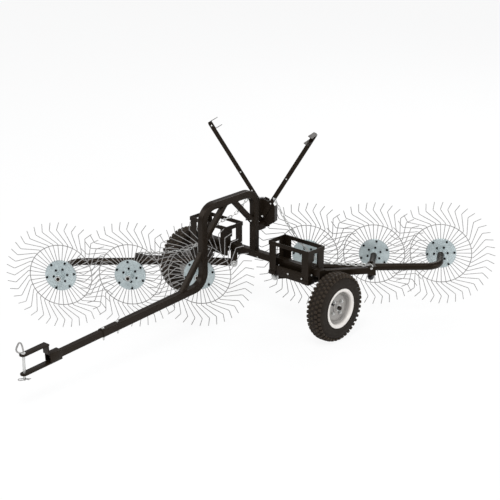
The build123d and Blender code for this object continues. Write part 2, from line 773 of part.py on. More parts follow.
def make_lever(lean):
    """One flat lever bar and the channel handle on its outer face, leaning to the left."""
    bar_angle = 90 - lean
    bar_middle = (lever_length - lever_below) / 2
    with BuildPart() as bar:
        with BuildSketch(lever_plane.offset(lever_start)):
            with Locations(Location((0, 0, 0), (0, 0, bar_angle))):
                with Locations((bar_middle, 0)):
                    SlotOverall(lever_length + lever_below, lever_width)
            Circle(lever_bolt / 2 + slide_fit, mode=Mode.SUBTRACT)
        extrude(amount=lever_thick)
    bar_x = sin(radians(lean))
    bar_y = cos(radians(lean))
    grip_plane = Plane(
        origin=lever_plane.from_local_coords(
            (lever_length * bar_x, lever_length * bar_y, lever_start + lever_thick)
        ),
        x_dir=lever_plane.from_local_coords((bar_x, bar_y, 0)) - lever_plane.origin,
        z_dir=lever_plane.z_dir,
    )
    with BuildPart() as grip:
        with BuildSketch(grip_plane):
            with Locations((-handle_length / 2, 0)):
                Rectangle(handle_length, lever_width)
        extrude(amount=handle_plate)
        with BuildSketch(grip_plane):
            for flange_x in (-handle_plate / 2, handle_plate / 2 - handle_length):
                with Locations((flange_x, 0)):
                    Rectangle(handle_plate, lever_width)
        extrude(amount=handle_reach)
    return bar.part, grip.part


lever_bar, lever_grip = make_lever(lever_lean_left)
save(lever_bar, "lever_left")
save(lever_grip, "lever_handle_left")
lever_bar, lever_grip = make_lever(lever_lean_right)
save(turn_lever(lever_bar), "lever_right")
save(turn_lever(lever_grip), "lever_handle_right")

# Lift chains from the levers to the arm ends, each in two lengths, one on either moving piece
link_half = chain_pitch / 2 + chain_wire
link_step = chain_pitch - link_bite


def make_chain(points, flat_normal, first_half):
    """Links along a smooth line, every second one turned a quarter, the first lying flat."""
    links = []
    with BuildLine() as chain_line:
        Spline(*points)
    whole = chain_line.edges()[0]
    link_count = int((whole.length - first_half) / link_step)
    for index in range(link_count):
        start = whole.position_at(index * link_step, position_mode=PositionMode.LENGTH)
        end = whole.position_at((index + 1) * link_step, position_mode=PositionMode.LENGTH)
        along = (end - start).normalized()
        sideways = flat_normal.cross(along).normalized()
        normal = along.cross(sideways) if index % 2 == 0 else sideways
        link_plane = Plane(origin=(start + end) / 2, x_dir=along, z_dir=normal)
        with BuildPart() as link:
            with BuildSketch(link_plane.offset(-chain_wire / 2)):
                with BuildLine():
                    Polyline(
                        (-link_half, -chain_wire),
                        (-link_half + chain_wire, -chain_width / 2),
                        (link_half - chain_wire, -chain_width / 2),
                        (link_half, -chain_wire),
                        (link_half, chain_wire),
                        (link_half - chain_wire, chain_width / 2),
                        (-link_half + chain_wire, chain_width / 2),
                        (-link_half, chain_wire),
                        close=True,
                    )
                make_face()
                Rectangle(chain_pitch, chain_width - 2 * chain_wire, mode=Mode.SUBTRACT)
            extrude(amount=chain_wire)
        links.append(link.part.solid())
    return Compound(children=links)


def lever_point(u, v, n):
    return lever_plane.from_local_coords((u, v, n))


face_out = lever_start + lever_thick + chain_wire / 2 + slide_fit
face_in = -lever_start + chain_wire / 2 + slide_fit
lever_out = Vector(lever_plane.z_dir)
upper_left_points = [
    lever_point(75.6, 120.0, face_out),
    lever_point(98.0, 81.0, face_out),
    lever_point(151.0, -8.0, face_out),
    lever_point(215.0, -92.0, face_out),
    lever_point(285.0, -166.0, face_out),
]
upper_right_points = [
    lever_point(-92.0, 111.0, face_in),
    lever_point(-110.0, 91.0, face_in),
    lever_point(-142.0, 44.0, -14.0),
    lever_point(-182.0, -16.0, 30.0),
    lever_point(-262.0, -62.0, 115.0),
    lever_point(-340.0, -160.0, 141.0),
]
save(make_chain(upper_left_points, lever_out, 0), "chain_upper_left")
save(make_chain(upper_right_points, lever_out, 0), "chain_upper_right")
fork_top = reel_z + fork_half + fork_plate + chain_wire / 2 + slide_fit
arm_end_x = joint_x + arm_offset * beam_y
arm_end_y = joint_y - arm_offset * beam_x
# Lower chain: distance back from the arm's end, height above the fork
lower_table = [(9.0, 0.0), (60.0, 0.6), (142.0, 4.0), (231.0, 13.0), (302.0, 26.0)]
lower_points = [
    (arm_end_x - back * beam_x, arm_end_y - back * beam_y, fork_top + above)
    for back, above in lower_table
]
chain_lower_left = make_chain(lower_points, Vector(0, 0, 1), 0)
save(chain_lower_left, "chain_lower_left")
save(half_turn(chain_lower_left), "chain_lower_right")

# Road wheels: a knobbly tyre on a dished steel rim with its own hub
rim_half = rim_width / 2
tyre_half = tyre_width / 2
bead_half = tyre_bead_width / 2
wheel_plane = Plane(origin=(wheel_x, 0, tyre_radius), x_dir=(0, 1, 0), z_dir=(1, 0, 0))
tyre_profile_plane = Plane(origin=(wheel_x, 0, tyre_radius), x_dir=(1, 0, 0), z_dir=(0, -1, 0))
wheel_axis = Axis((wheel_x, 0, tyre_radius), (1, 0, 0))
tread_root = tyre_radius - lug_height
shoulder_root = tyre_shoulder_radius
shoulder_x = tyre_half - tyre_wall / 2
tread_base = shoulder_root - tyre_wall - 1.5
cavity_top = tread_base - 2.5
row_edge = shoulder_x / 3
shoulder_mid = (tyre_shoulder_radius + tyre_bead_radius) / 2


def ring_of_flats(profile):
    """Ring of straight segments with a closed profile of places along the axle and radii."""
    half_step = radians(180 / lugs_per_row)
    wedge_high = 2 * tyre_radius
    wedge_wide = wedge_high * sin(half_step) / cos(half_step)
    with BuildPart() as segment:
        with BuildSketch(tyre_profile_plane):
            with BuildLine():
                Polyline(*profile, close=True)
            make_face()
        extrude(amount=wedge_wide, both=True)
        with BuildSketch(wheel_plane.offset(-tyre_width)):
            Polygon((0, 0), (wedge_wide, wedge_high), (-wedge_wide, wedge_high), align=None)
        extrude(amount=2 * tyre_width, mode=Mode.INTERSECT)
    with BuildPart() as ring_body:
        for index in range(lugs_per_row):
            add(segment.part.rotate(wheel_axis, index * 360 / lugs_per_row))
    return ring_body.part


def lug_row(start_x, end_x, root, tip, shift):
    """One row of lugs round the tyre, cut as a toothed band."""
    step = 360 / lugs_per_row
    outline = []
    for index in range(lugs_per_row):
        middle = (index + shift) * step
        land = lug_share * step / 2
        groove = land + (1 - lug_share) * step / 8
        for angle, radius in ((-groove, root), (-land, tip), (land, tip), (groove, root)):
            outline.append(polar(radius, middle + angle))
    with BuildPart() as band:
        with BuildSketch(wheel_plane.offset(start_x)):
            with BuildLine():
                Polyline(*outline, close=True)
            make_face()
            Circle(tread_base, mode=Mode.SUBTRACT)
        extrude(amount=end_x - start_x)
    return band.part


tyre_profile = [
    (-bead_half, tyre_bead_radius),
    (-tyre_half, shoulder_mid),
    (-shoulder_x, shoulder_root - tyre_wall),
    (-row_edge, shoulder_root - 1),
    (row_edge, shoulder_root - 1),
    (shoulder_x, shoulder_root - tyre_wall),
    (tyre_half, shoulder_mid),
    (bead_half, tyre_bead_radius),
    (bead_half - tyre_wall, tyre_bead_radius),
    (tyre_half - 2 * tyre_wall, shoulder_mid),
    (row_edge, cavity_top),
    (-row_edge, cavity_top),
    (-tyre_half + 2 * tyre_wall, shoulder_mid),
    (-bead_half + tyre_wall, tyre_bead_radius),
]
# Rows of lugs: start and end along the axle, radius of the groove, share of a step turned
row_table = [
    (-shoulder_x, -row_edge, shoulder_root + 1, 0.0),
    (-row_edge, row_edge, tread_root, 0.5),
    (row_edge, shoulder_x, shoulder_root + 1, 0.0),
]
with BuildPart() as tyre_left:
    add(ring_of_flats(tyre_profile))
    for row_start, row_end, row_root, row_shift in row_table:
        add(lug_row(row_start, row_end, row_root, row_root + lug_height, row_shift))
save(tyre_left.part, "tyre_left")
save(mirror(tyre_left.part, Plane.YZ), "tyre_right")

with BuildPart() as rim_left:
    with BuildSketch(tyre_profile_plane):
        with BuildLine():
            Polyline(
                (-rim_half, rim_radius),
                (-bead_half, tyre_bead_radius - slide_fit),
                (-rim_half / 2, tyre_bead_radius - slide_fit),
                (-rim_half / 4, rim_well_radius),
                (rim_half / 4, rim_well_radius),
                (rim_half / 2, tyre_bead_radius - slide_fit),
                (bead_half, tyre_bead_radius - slide_fit),
                (rim_half, rim_radius),
                (rim_half, rim_radius - rim_wall),
                (bead_half, tyre_bead_radius - rim_wall),
                (rim_half / 2 + rim_wall, tyre_bead_radius - rim_wall),
                (rim_half / 4 + rim_wall, rim_well_radius - rim_wall),
                (rim_half / 4, rim_well_radius - rim_wall),
                (rim_dish_depth, road_hub_radius),
                (rim_dish_depth - rim_wall, road_hub_radius),
                (rim_half / 4 - rim_wall, rim_well_radius - rim_wall),
                (-rim_half / 4 - rim_wall, rim_well_radius - rim_wall),
                (-rim_half / 2 - rim_wall, tyre_bead_radius - rim_wall),
                (-bead_half, tyre_bead_radius - rim_wall),
                (-rim_half, rim_radius - rim_wall),
                close=True,
            )
        make_face()
    revolve(axis=wheel_axis)
    with BuildSketch(wheel_plane.offset(-road_hub_length / 2)):
        Circle(road_hub_radius)
        Circle(road_spindle_radius + wheel_fit, mode=Mode.SUBTRACT)
    extrude(amount=road_hub_length)
save(rim_left.part, "rim_left")
save(mirror(rim_left.part, Plane.YZ), "rim_right")

print("parts written")
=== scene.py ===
"""Finish and detail for a towed six-reel acreage rake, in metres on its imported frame."""

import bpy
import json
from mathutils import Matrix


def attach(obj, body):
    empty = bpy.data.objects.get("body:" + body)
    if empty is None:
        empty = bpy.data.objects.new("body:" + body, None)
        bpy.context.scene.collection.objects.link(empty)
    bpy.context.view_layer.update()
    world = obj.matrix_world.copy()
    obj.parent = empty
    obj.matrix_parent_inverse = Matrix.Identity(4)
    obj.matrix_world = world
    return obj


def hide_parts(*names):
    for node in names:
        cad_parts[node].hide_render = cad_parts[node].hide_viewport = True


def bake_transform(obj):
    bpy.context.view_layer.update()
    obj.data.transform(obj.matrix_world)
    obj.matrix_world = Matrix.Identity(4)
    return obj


bl_info = {
    "name": "Acreage Rake Finish",
    "version": (1, 0, 0),
    "blender": (4, 5, 0),
    "location": "3D View > Sidebar > Rake",
    "description": "Dresses a towed six-reel acreage rake with wire reels, tread, bolts, chain and paint",
    "category": "Object",
}

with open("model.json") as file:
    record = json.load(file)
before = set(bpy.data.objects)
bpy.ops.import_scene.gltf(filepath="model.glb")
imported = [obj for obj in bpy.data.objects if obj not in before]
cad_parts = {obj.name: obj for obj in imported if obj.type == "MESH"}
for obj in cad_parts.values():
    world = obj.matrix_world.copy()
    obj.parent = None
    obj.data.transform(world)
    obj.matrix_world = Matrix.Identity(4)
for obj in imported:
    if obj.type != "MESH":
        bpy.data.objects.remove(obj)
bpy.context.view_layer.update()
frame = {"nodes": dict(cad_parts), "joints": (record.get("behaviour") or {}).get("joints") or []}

import json
import math

import bpy
from mathutils import Matrix, Vector

FULL_TURN = 2 * math.pi
UP = Vector((0, 0, 1))
JOINTS = {joint["name"]: joint for joint in frame["joints"]}
REELS = ("inner", "middle", "outer")
# how far each reel happens to stand turned, in degrees
REEL_TURNS = {
    ("left", "inner"): 63.6, ("left", "middle"): 38.8, ("left", "outer"): 53.5,
    ("right", "inner"): 74.0, ("right", "middle"): 38.4, ("right", "outer"): 69.9,
}
CROSS_BAR_Z = 0.398
# the drawbar: its fall towards the hitch, and its middle line where it leaves the arch
DRAWBAR_FALL = math.radians(3.6)
DRAWBAR_REAR_Y, DRAWBAR_REAR_Z = -0.620, 0.312
HITCH_HOLE_Y = -1.815


# ---------------------------------------------------------------- small workshop tools

def drop_selection():
    """Leave edit mode and select nothing."""
    if bpy.context.mode != "OBJECT":
        bpy.ops.object.mode_set(mode="OBJECT")
    bpy.ops.object.select_all(action="DESELECT")


def take(*things):
    """Select these objects only, the first of them active."""
    drop_selection()
    for thing in things:
        thing.select_set(True)
    bpy.context.view_layer.objects.active = things[0]


def settle(thing):
    """Bake an object's place, turn and scale into its mesh."""
    take(thing)
    bpy.ops.object.transform_apply(location=True, rotation=True, scale=True)
    return thing


def edit_whole(thing):
    """Enter edit mode on one object with all of it selected."""
    take(thing)
    bpy.ops.object.mode_set(mode="EDIT")
    bpy.ops.mesh.select_all(action="SELECT")


def leave_edit():
    bpy.ops.object.mode_set(mode="OBJECT")


def pick(thing, kind, test):
    """In edit mode, select the faces or the vertices that pass a test."""
    edit_whole(thing)
    bpy.ops.mesh.select_mode(type=kind)
    bpy.ops.mesh.select_all(action="DESELECT")
    leave_edit()
    for part in thing.data.polygons if kind == "FACE" else thing.data.vertices:
        part.select = bool(test(part))
    bpy.ops.object.mode_set(mode="EDIT")


def pick_faces(thing, direction):
    """In edit mode, select the faces that look along a direction."""
    pick(thing, "FACE", lambda face: face.normal.dot(Vector(direction)) > 0.99)


def push_out(value):
    """Extrude the selected faces."""
    bpy.ops.mesh.extrude_region_move(TRANSFORM_OT_translate={"value": value})


def finish_with(thing, kind, **settings):
    """Add a modifier with these settings and apply it."""
    take(thing)
    bpy.ops.object.modifier_add(type=kind)
    modifier = thing.modifiers[-1]
    for key, value in settings.items():
        setattr(modifier, key, value)
    bpy.ops.object.modifier_apply(modifier=modifier.name)


def ease_edges(thing, width, segments=2, angle=35):
    """Break the sharp edges, as a real part has them."""
    finish_with(
        thing, "BEVEL", width=width, segments=segments, limit_method="ANGLE",
        angle_limit=math.radians(angle), harden_normals=False,
    )


def cut(thing, *cutters):
    """Take the cutters away from a mesh."""
    for cutter in cutters:
        finish_with(thing, "BOOLEAN", operation="DIFFERENCE", object=cutter)
        bpy.data.objects.remove(cutter)


def lathe(profile, steps, closed=False):
    """Turn a profile of (radius, height) points round the upright axis."""
    drop_selection()
    bpy.ops.mesh.primitive_plane_add(size=0.001, location=(0, 0, 0))
    thing = bpy.context.object
    edit_whole(thing)
    bpy.ops.mesh.select_mode(type="VERT")
    bpy.ops.mesh.select_all(action="SELECT")
    bpy.ops.mesh.merge(type="CENTER")
    points = [*profile, profile[0]] if closed else profile
    bpy.ops.transform.translate(value=(points[0][0], 0, points[0][1]))
    for (radius, height), (next_radius, next_height) in zip(points, points[1:]):
        step = (next_radius - radius, 0, next_height - height)
        bpy.ops.mesh.extrude_vertices_move(TRANSFORM_OT_translate={"value": step})
    bpy.ops.mesh.select_all(action="SELECT")
    bpy.ops.mesh.spin(steps=steps, angle=FULL_TURN, center=(0, 0, 0), axis=(0, 0, 1))
    bpy.ops.mesh.select_all(action="SELECT")
    bpy.ops.mesh.remove_doubles(threshold=0.00002)
    bpy.ops.mesh.normals_make_consistent(inside=False)
    leave_edit()
    return thing


def repeat_round(thing, count):
    """Copy a whole mesh round the upright axis, count times in a full turn."""
    edit_whole(thing)
    bpy.ops.mesh.spin(
        steps=count - 1, dupli=True, angle=FULL_TURN * (count - 1) / count, center=(0, 0, 0), axis=(0, 0, 1)
    )
    leave_edit()
    return thing


def rod(points, radius, sides=1, closed=False, swell=(1,)):
    """Round wire or bead along points; sides adds faces round it, swell varies its radius."""
    drop_selection()
    bpy.ops.curve.primitive_nurbs_path_add(location=(0, 0, 0))
    curve = bpy.context.object.data
    curve.splines.clear()
    spline = curve.splines.new("POLY")
    spline.points.add(len(points) - 1)
    for index, point in enumerate(points):
        spline.points[index].co = (*point, 1)
        spline.points[index].radius = swell[index % len(swell)]
    spline.use_cyclic_u = closed
    curve.bevel_depth = radius
    curve.bevel_resolution = sides
    curve.use_fill_caps = not closed
    bpy.ops.object.convert(target="MESH")
    thing = bpy.context.object
    edit_whole(thing)
    bpy.ops.mesh.normals_make_consistent(inside=False)
    leave_edit()
    return thing


def fillet(points, radius, steps):
    """Points of a bent wire: each inner corner becomes a short arc."""
    bent = [Vector(points[0])]
    for before, corner, after in zip(points, points[1:], points[2:]):
        corner = Vector(corner)
        into = (Vector(before) - corner).normalized()
        out = (Vector(after) - corner).normalized()
        half = into.angle(out) / 2
        reach = radius / math.tan(half)
        middle = corner + (into + out).normalized() * (radius / math.sin(half))
        start = (corner + into * reach - middle).normalized()
        end = (corner + out * reach - middle).normalized()
        for step in range(steps + 1):
            bent.append(middle + start.slerp(end, step / steps) * radius)
    bent.append(Vector(points[-1]))
    return bent


def block(size, center=(0, 0, 0)):
    """Box of a given size that is then cut, bent or bevelled."""
    drop_selection()
    bpy.ops.mesh.primitive_cube_add(size=1, location=center, scale=size)
    return settle(bpy.context.object)


def cylinder(corners, radius, high, low=0.0):
    """Upright cylinder that stands on a level."""
    drop_selection()
    bpy.ops.mesh.primitive_cylinder_add(
        vertices=corners, radius=radius, depth=high, location=(0, 0, low + high / 2)
    )
    return settle(bpy.context.object)


def hex_nut(width, height, washer=0.0):
    """Chamfered hexagon with a round boss of thread, and a washer under it where asked."""
    nut = cylinder(6, width / math.sqrt(3), height)
    pick_faces(nut, UP)
    bpy.ops.mesh.inset(thickness=width * 0.09, depth=0)
    bpy.ops.transform.translate(value=(0, 0, height * 0.1))
    bpy.ops.mesh.inset(thickness=width * 0.1, depth=0)
    push_out((0, 0, height * 0.25))
    bpy.ops.transform.resize(value=(0.8, 0.8, 1))
    leave_edit()
    ease_edges(nut, width * 0.03, segments=1)
    if washer:
        nut.location.z = washer
        nut = weld([settle(nut), cylinder(20, width * 0.82, washer)])
    return nut


def round_head(width, height):
    """Low domed head of a coach bolt."""
    half = width / 2
    return lathe(
        [
            (0, height), (half * 0.45, height * 0.93), (half * 0.8, height * 0.62), (half, height * 0.12),
            (half, 0), (0, 0),
        ],
        14,
    )


def through_bolt(half, radius, steps, nut):
    """Bolt through both sides of a joint, with a nut or head at each end."""
    shank = lathe([(0, half), (radius, half), (radius, -half), (0, -half)], steps)
    ends = stamp(nut, [facing((0, 0, half), (0, 0, 1), 0.2), facing((0, 0, -half), (0, 0, -1), 0.5)])
    return weld([shank, ends])


def weld(things):
    """Join meshes into one object."""
    take(*things)
    if len(things) > 1:
        bpy.ops.object.join()
    return things[0]


def around(radius, angle, level=0.0):
    """Point at a radius and an angle round the upright axis."""
    return (radius * math.cos(angle), radius * math.sin(angle), level)


def facing(point, direction, roll=0.0):
    """Place at a point whose upright axis looks along a direction."""
    turn = Vector(direction).to_track_quat("Z", "Y").to_matrix().to_4x4()
    return Matrix.Translation(Vector(point)) @ turn @ Matrix.Rotation(roll, 4, "Z")


def axes_at(point, first, third):
    """Place with its first axis and its third axis given."""
    first, third = Vector(first).normalized(), Vector(third).normalized()
    turn = Matrix((first, third.cross(first), third)).transposed().to_4x4()
    return Matrix.Translation(Vector(point)) @ turn


def stamp(pattern, places):
    """Copy a pattern to each place, each copy with its own mesh, and join the copies."""
    copies = []
    for place in places:
        copy = pattern.copy()
        copy.data = pattern.data.copy()
        bpy.context.scene.collection.objects.link(copy)
        copy.matrix_world = place
        copies.append(copy)
    bpy.data.objects.remove(pattern)
    take(*copies)
    bpy.ops.object.transform_apply(location=True, rotation=True, scale=True)
    return weld(copies)


def finished(thing, name, look, angle=40, stands_for=()):
    """Name a finished piece, bake its place and give it its finish."""
    settle(thing)
    bpy.ops.object.shade_smooth_by_angle(angle=math.radians(angle))
    thing.name = name
    thing.data.name = name
    thing.data.materials.clear()
    thing.data.materials.append(looks()[look])
    if stands_for:
        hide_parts(*stands_for)
    return thing


def hand_over(thing, name, body, look, angle=40, stands_for=()):
    """Finish a piece and let it ride on its body."""
    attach(finished(thing, name, look, angle, stands_for), body)


def sides():
    """The left side as drawn, and the right one after half a turn about the cross bar's upright line."""
    middle = Vector((0, settings().cross_bar_y, 0))
    turn = Matrix.Translation(middle) @ Matrix.Rotation(math.pi, 4, "Z") @ Matrix.Translation(-middle)
    return (("left", Matrix.Identity(4)), ("right", turn))


def reel_place(side, reel):
    """Place of a reel: its middle, with the spindle's direction third and a level first axis."""
    joint = JOINTS[f"reel_{side}_{reel}_spin"]
    return axes_at(joint["pos_m"], UP.cross(Vector(joint["axis"])), joint["axis"])


def lever_place():
    """Place of the lever pivot: first axis across, second upright, third towards the drawbar."""
    joint = JOINTS["lever_left_swing"]
    return axes_at(joint["pos_m"], UP.cross(Vector(joint["axis"])), joint["axis"])


def arm_place():
    """Place of the left gang's swivel: first axis out along the beam, third axis upright."""
    return axes_at(JOINTS["gang_left_swing"]["pos_m"], UP.cross(Vector(JOINTS["arm_left_lift"]["axis"])), UP)


def seam(corners):
    """Weld bead round closed corners: a lumpy rod that lies in the angle of two faces."""
    radius = settings().weld_bead
    points = []
    loop = [Vector(corner) for corner in corners]
    for start, end in zip(loop, loop[1:] + loop[:1]):
        steps = max(2, round((end - start).length / (radius * 1.15)))
        for step in range(steps):
            points.append(start.lerp(end, step / steps))
    return rod(points, radius, closed=True, swell=(1.0, 1.12, 0.94, 1.06, 0.9))


def square_round(place, wide):
    """Corners of a square in the plane of a place."""
    spots = ((1, 1), (-1, 1), (-1, -1), (1, -1))
    return [place @ Vector((x * wide / 2, y * wide / 2, 0)) for x, y in spots]


def settings():
    return bpy.context.scene.rake_sizes


def colours():
    return bpy.context.scene.rake_colours


# ---------------------------------------------------------------- finishes

def feed(tree, socket, value):
    """Link a value that comes from a node, or set it where it is a constant."""
    if isinstance(value, bpy.types.NodeSocket):
        tree.links.new(value, socket)
    elif socket.type == "RGBA":
        socket.default_value = (*value, 1)
    else:
        socket.default_value = value


def add_node(tree, kind, **sockets):
    node = tree.nodes.new("ShaderNode" + kind)
    for name, value in sockets.items():
        feed(tree, node.inputs[name], value)
    return node


def emptied(owner):
    """Empty node tree of a material or a world."""
    owner.use_nodes = True
    owner.node_tree.nodes.clear()
    return owner.node_tree


def mix_shaders(tree, share, first, second):
    mix = add_node(tree, "MixShader", Fac=share)
    feed(tree, mix.inputs[1], first.outputs[0])
    feed(tree, mix.inputs[2], second.outputs[0])
    return mix.outputs[0]


def math_node(tree, operation, first, second):
    node = add_node(tree, "Math")
    node.operation = operation
    feed(tree, node.inputs[0], first)
    feed(tree, node.inputs[1], second)
    return node.outputs[0]


def scaled(colour, factor):
    return tuple(min(1.0, part * factor) for part in colour)


class Finish:
    """A material in the making: its shader, and the patterns that feed the shader's sockets."""

    def __init__(self, name):
        self.look = bpy.data.materials.new(name)
        self.tree = emptied(self.look)
        self.shader = add_node(self.tree, "BsdfPrincipled")
        self.place = add_node(self.tree, "TexCoord").outputs["Object"]
        add_node(self.tree, "OutputMaterial", Surface=self.shader.outputs["BSDF"])

    def give(self, name, value):
        feed(self.tree, self.shader.inputs[name], value)

    def noise(self, scale, detail, stretch=(1, 1, 1)):
        mapping = add_node(self.tree, "Mapping", Vector=self.place, Scale=stretch)
        pattern = add_node(
            self.tree, "TexNoise", Vector=mapping.outputs["Vector"], Scale=scale, Detail=detail, Roughness=0.55
        )
        return pattern.outputs["Fac"]

    def ramp(self, source, low, high):
        """Ramp between two (place, shade) stops; a shade is a colour or one grey value."""
        node = add_node(self.tree, "ValToRGB", Fac=source)
        for element, (where, shade) in zip(node.color_ramp.elements, (low, high)):
            element.position = where
            element.color = (*shade, 1) if isinstance(shade, tuple) else (shade, shade, shade, 1)
        return node.outputs["Color"]

    def mix(self, share, first, second):
        node = add_node(self.tree, "Mix")
        node.data_type = "RGBA"
        for index, value in ((0, share), (6, first), (7, second)):
            feed(self.tree, node.inputs[index], value)
        return node.outputs[2]

    def mottle(self, name, scale, detail, low, high, stretch=(1, 1, 1)):
        """Let noise vary one of the shader's values between two stops."""
        self.give(name, self.ramp(self.noise(scale, detail, stretch), low, high))

    def bump(self, source, strength, distance):
        node = add_node(self.tree, "Bump", Strength=strength, Distance=distance, Height=source)
        last = self.shader.inputs["Normal"].links
        if last:
            feed(self.tree, node.inputs["Normal"], last[0].from_socket)
        self.give("Normal", node.outputs["Normal"])

    def surface(self, fact):
        """What the surface knows of itself: Pointiness, or Normal."""
        return add_node(self.tree, "NewGeometry").outputs[fact]

    def part(self, vector, letter):
        """One of the three parts of a vector."""
        return add_node(self.tree, "SeparateXYZ", Vector=vector).outputs[letter]


def make_frame_paint():
    """Satin dark powder coat: fine orange peel, faint cloudiness, specks, and painted light that makes the faces that
    look up paler.
    """
    coat = Finish("frame_powder_coat")
    base = tuple(colours().frame_paint)
    cloud = coat.noise(9.0, 5)
    clouded = coat.ramp(cloud, (0.3, scaled(base, 0.8)), (0.7, scaled(base, 1.2)))
    specks = coat.ramp(coat.noise(420.0, 2), (0.62, 0.0), (0.7, 0.35))
    rubbed = coat.mix(specks, clouded, scaled(base, 1.9))
    # painted light: faces that look up are painted up to 1.3 times paler, as if lit from above, over the cloudy coat
    # and its specks
    painted_top_light = coat.ramp(coat.part(coat.surface("Normal"), "Z"), (0.75, 0.0), (1.0, 1.0))
    coat.give("Base Color", coat.mix(painted_top_light, rubbed, scaled(base, 1.3)))
    coat.mottle("Roughness", 34.0, 4, (0.3, 0.3), (0.75, 0.42))
    coat.give("Specular IOR Level", 0.15)
    coat.give("Specular Tint", (1.0, 0.84, 0.70))
    coat.bump(coat.noise(950.0, 2), 0.10, 0.0004)
    coat.bump(cloud, 0.05, 0.002)
    return coat.look


def make_zinc(name, colour, roughness, spangle, metal):
    """Bright zinc plate with a soft crystalline bloom and fine rolling marks."""
    zinc = Finish(name)
    cells = add_node(zinc.tree, "TexVoronoi", Vector=zinc.place, Scale=spangle)
    patches = add_node(zinc.tree, "SeparateColor", Color=cells.outputs["Color"])
    bloom = zinc.ramp(patches.outputs[0], (0.0, scaled(colour, 0.86)), (1.0, scaled(colour, 1.08)))
    haze = zinc.ramp(zinc.noise(16.0, 5), (0.45, 0.0), (0.8, 0.5))
    zinc.give("Base Color", zinc.mix(haze, bloom, scaled(colour, 0.78)))
    zinc.give("Metallic", metal)
    zinc.mottle("Roughness", 60.0, 4, (0.3, roughness * 0.85), (0.75, roughness * 1.25), (1, 1, 4))
    zinc.bump(zinc.noise(700.0, 2), 0.06, 0.0003)
    return zinc.look


def make_wire():
    """Drawn spring steel, dull grey with darker handling stains."""
    wire = Finish("spring_steel_wire")
    base = tuple(colours().wire)
    wire.mottle("Base Color", 26.0, 4, (0.35, scaled(base, 1.1)), (0.7, scaled(base, 0.72)))
    wire.give("Metallic", 0.4)
    wire.mottle("Roughness", 240.0, 3, (0.3, 0.34), (0.7, 0.5))
    wire.bump(wire.noise(900.0, 2), 0.08, 0.0002)
    return wire.look


def make_rubber():
    """Tyre rubber: dark brown black, with a painted highlight that makes the edges of the blocks much paler, and a
    faint mould texture.
    """
    rubber = Finish("tread_rubber")
    base = tuple(colours().rubber)
    dusty = rubber.ramp(rubber.noise(22.0, 6), (0.35, scaled(base, 0.85)), (0.75, scaled(base, 1.35)))
    # painted highlight: the sharp edges of the tread blocks are painted six times paler than the rubber, where light
    # catches them
    edges = rubber.ramp(rubber.surface("Pointiness"), (0.55, 0.0), (0.68, 1.0))
    rubber.give("Base Color", rubber.mix(edges, dusty, scaled(base, 6.0)))
    rubber.mottle("Roughness", 80.0, 4, (0.3, 0.58), (0.75, 0.78))
    rubber.give("Specular IOR Level", 0.24)
    rubber.give("Specular Tint", (1.0, 0.88, 0.76))
    rubber.bump(rubber.noise(520.0, 3), 0.18, 0.0005)
    return rubber.look


def make_rim_paint():
    """Warm light grey wheel enamel: the outer lip in its own colour, and painted shade that darkens the sunken centre
    inside it.
    """
    enamel = Finish("wheel_enamel")
    base = tuple(colours().rim_paint)
    cloud = enamel.noise(14.0, 5)
    enamel_tone = enamel.ramp(cloud, (0.3, scaled(base, 0.95)), (0.75, scaled(base, 1.08)))
    # painted shade: nearer the machine's middle than the outer lip, the sunken centre of the wheel is painted at about
    # half the enamel's brightness, as it lies in shade
    outward = math_node(enamel.tree, "ABSOLUTE", enamel.part(enamel.place, "X"), 0.0)
    painted_dish_shade = enamel.ramp(outward, (0.612, 1.0), (0.628, 0.0))
    colour = enamel.mix(painted_dish_shade, enamel_tone, enamel.mix(cloud, scaled(base, 0.37), scaled(base, 0.50)))
    specks = enamel.ramp(enamel.noise(300.0, 2), (0.66, 0.0), (0.74, 0.45))
    enamel.give("Base Color", enamel.mix(specks, colour, scaled(base, 0.66)))
    enamel.mottle("Roughness", 40.0, 3, (0.3, 0.34), (0.75, 0.46))
    enamel.bump(enamel.noise(800.0, 2), 0.08, 0.0003)
    return enamel.look


def make_gloss_black(name, roughness, shine):
    """Moulded black plastic or blackened steel with slight sink marks."""
    black = Finish(name)
    base = tuple(colours().black)
    black.mottle("Base Color", 60.0, 3, (0.3, scaled(base, 0.8)), (0.75, scaled(base, 1.5)))
    black.mottle("Roughness", 180.0, 3, (0.3, roughness * 0.8), (0.75, roughness * 1.3))
    black.give("Specular IOR Level", shine)
    black.bump(black.noise(600.0, 2), 0.05, 0.0003)
    return black.look


LOOKS = {}


def looks():
    """Every finish of the machine, made once."""
    if not LOOKS:
        LOOKS["paint"] = make_frame_paint()
        LOOKS["disc"] = make_zinc("disc_zinc", tuple(colours().disc_zinc), 0.42, 130.0, 0.4)
        LOOKS["bolt"] = make_zinc("bolt_zinc", tuple(colours().bolt_zinc), 0.32, 600.0, 0.72)
        LOOKS["wire"] = make_wire()
        LOOKS["rubber"] = make_rubber()
        LOOKS["rim"] = make_rim_paint()
        LOOKS["knob"] = make_gloss_black("knob_plastic", 0.18, 0.5)
        LOOKS["dark_bolt"] = make_gloss_black("blackened_bolts", 0.4, 0.12)
    return LOOKS


# ---------------------------------------------------------------- sizes and colours

def length(label, text, default):
    return bpy.props.FloatProperty(
        name=label, description=text, default=default, min=0.0, unit="LENGTH", precision=4
    )


def tint(label, text, default):
    return bpy.props.FloatVectorProperty(
        name=label, description=text, default=default, size=3, min=0.0, max=1.0, subtype="COLOR"
    )


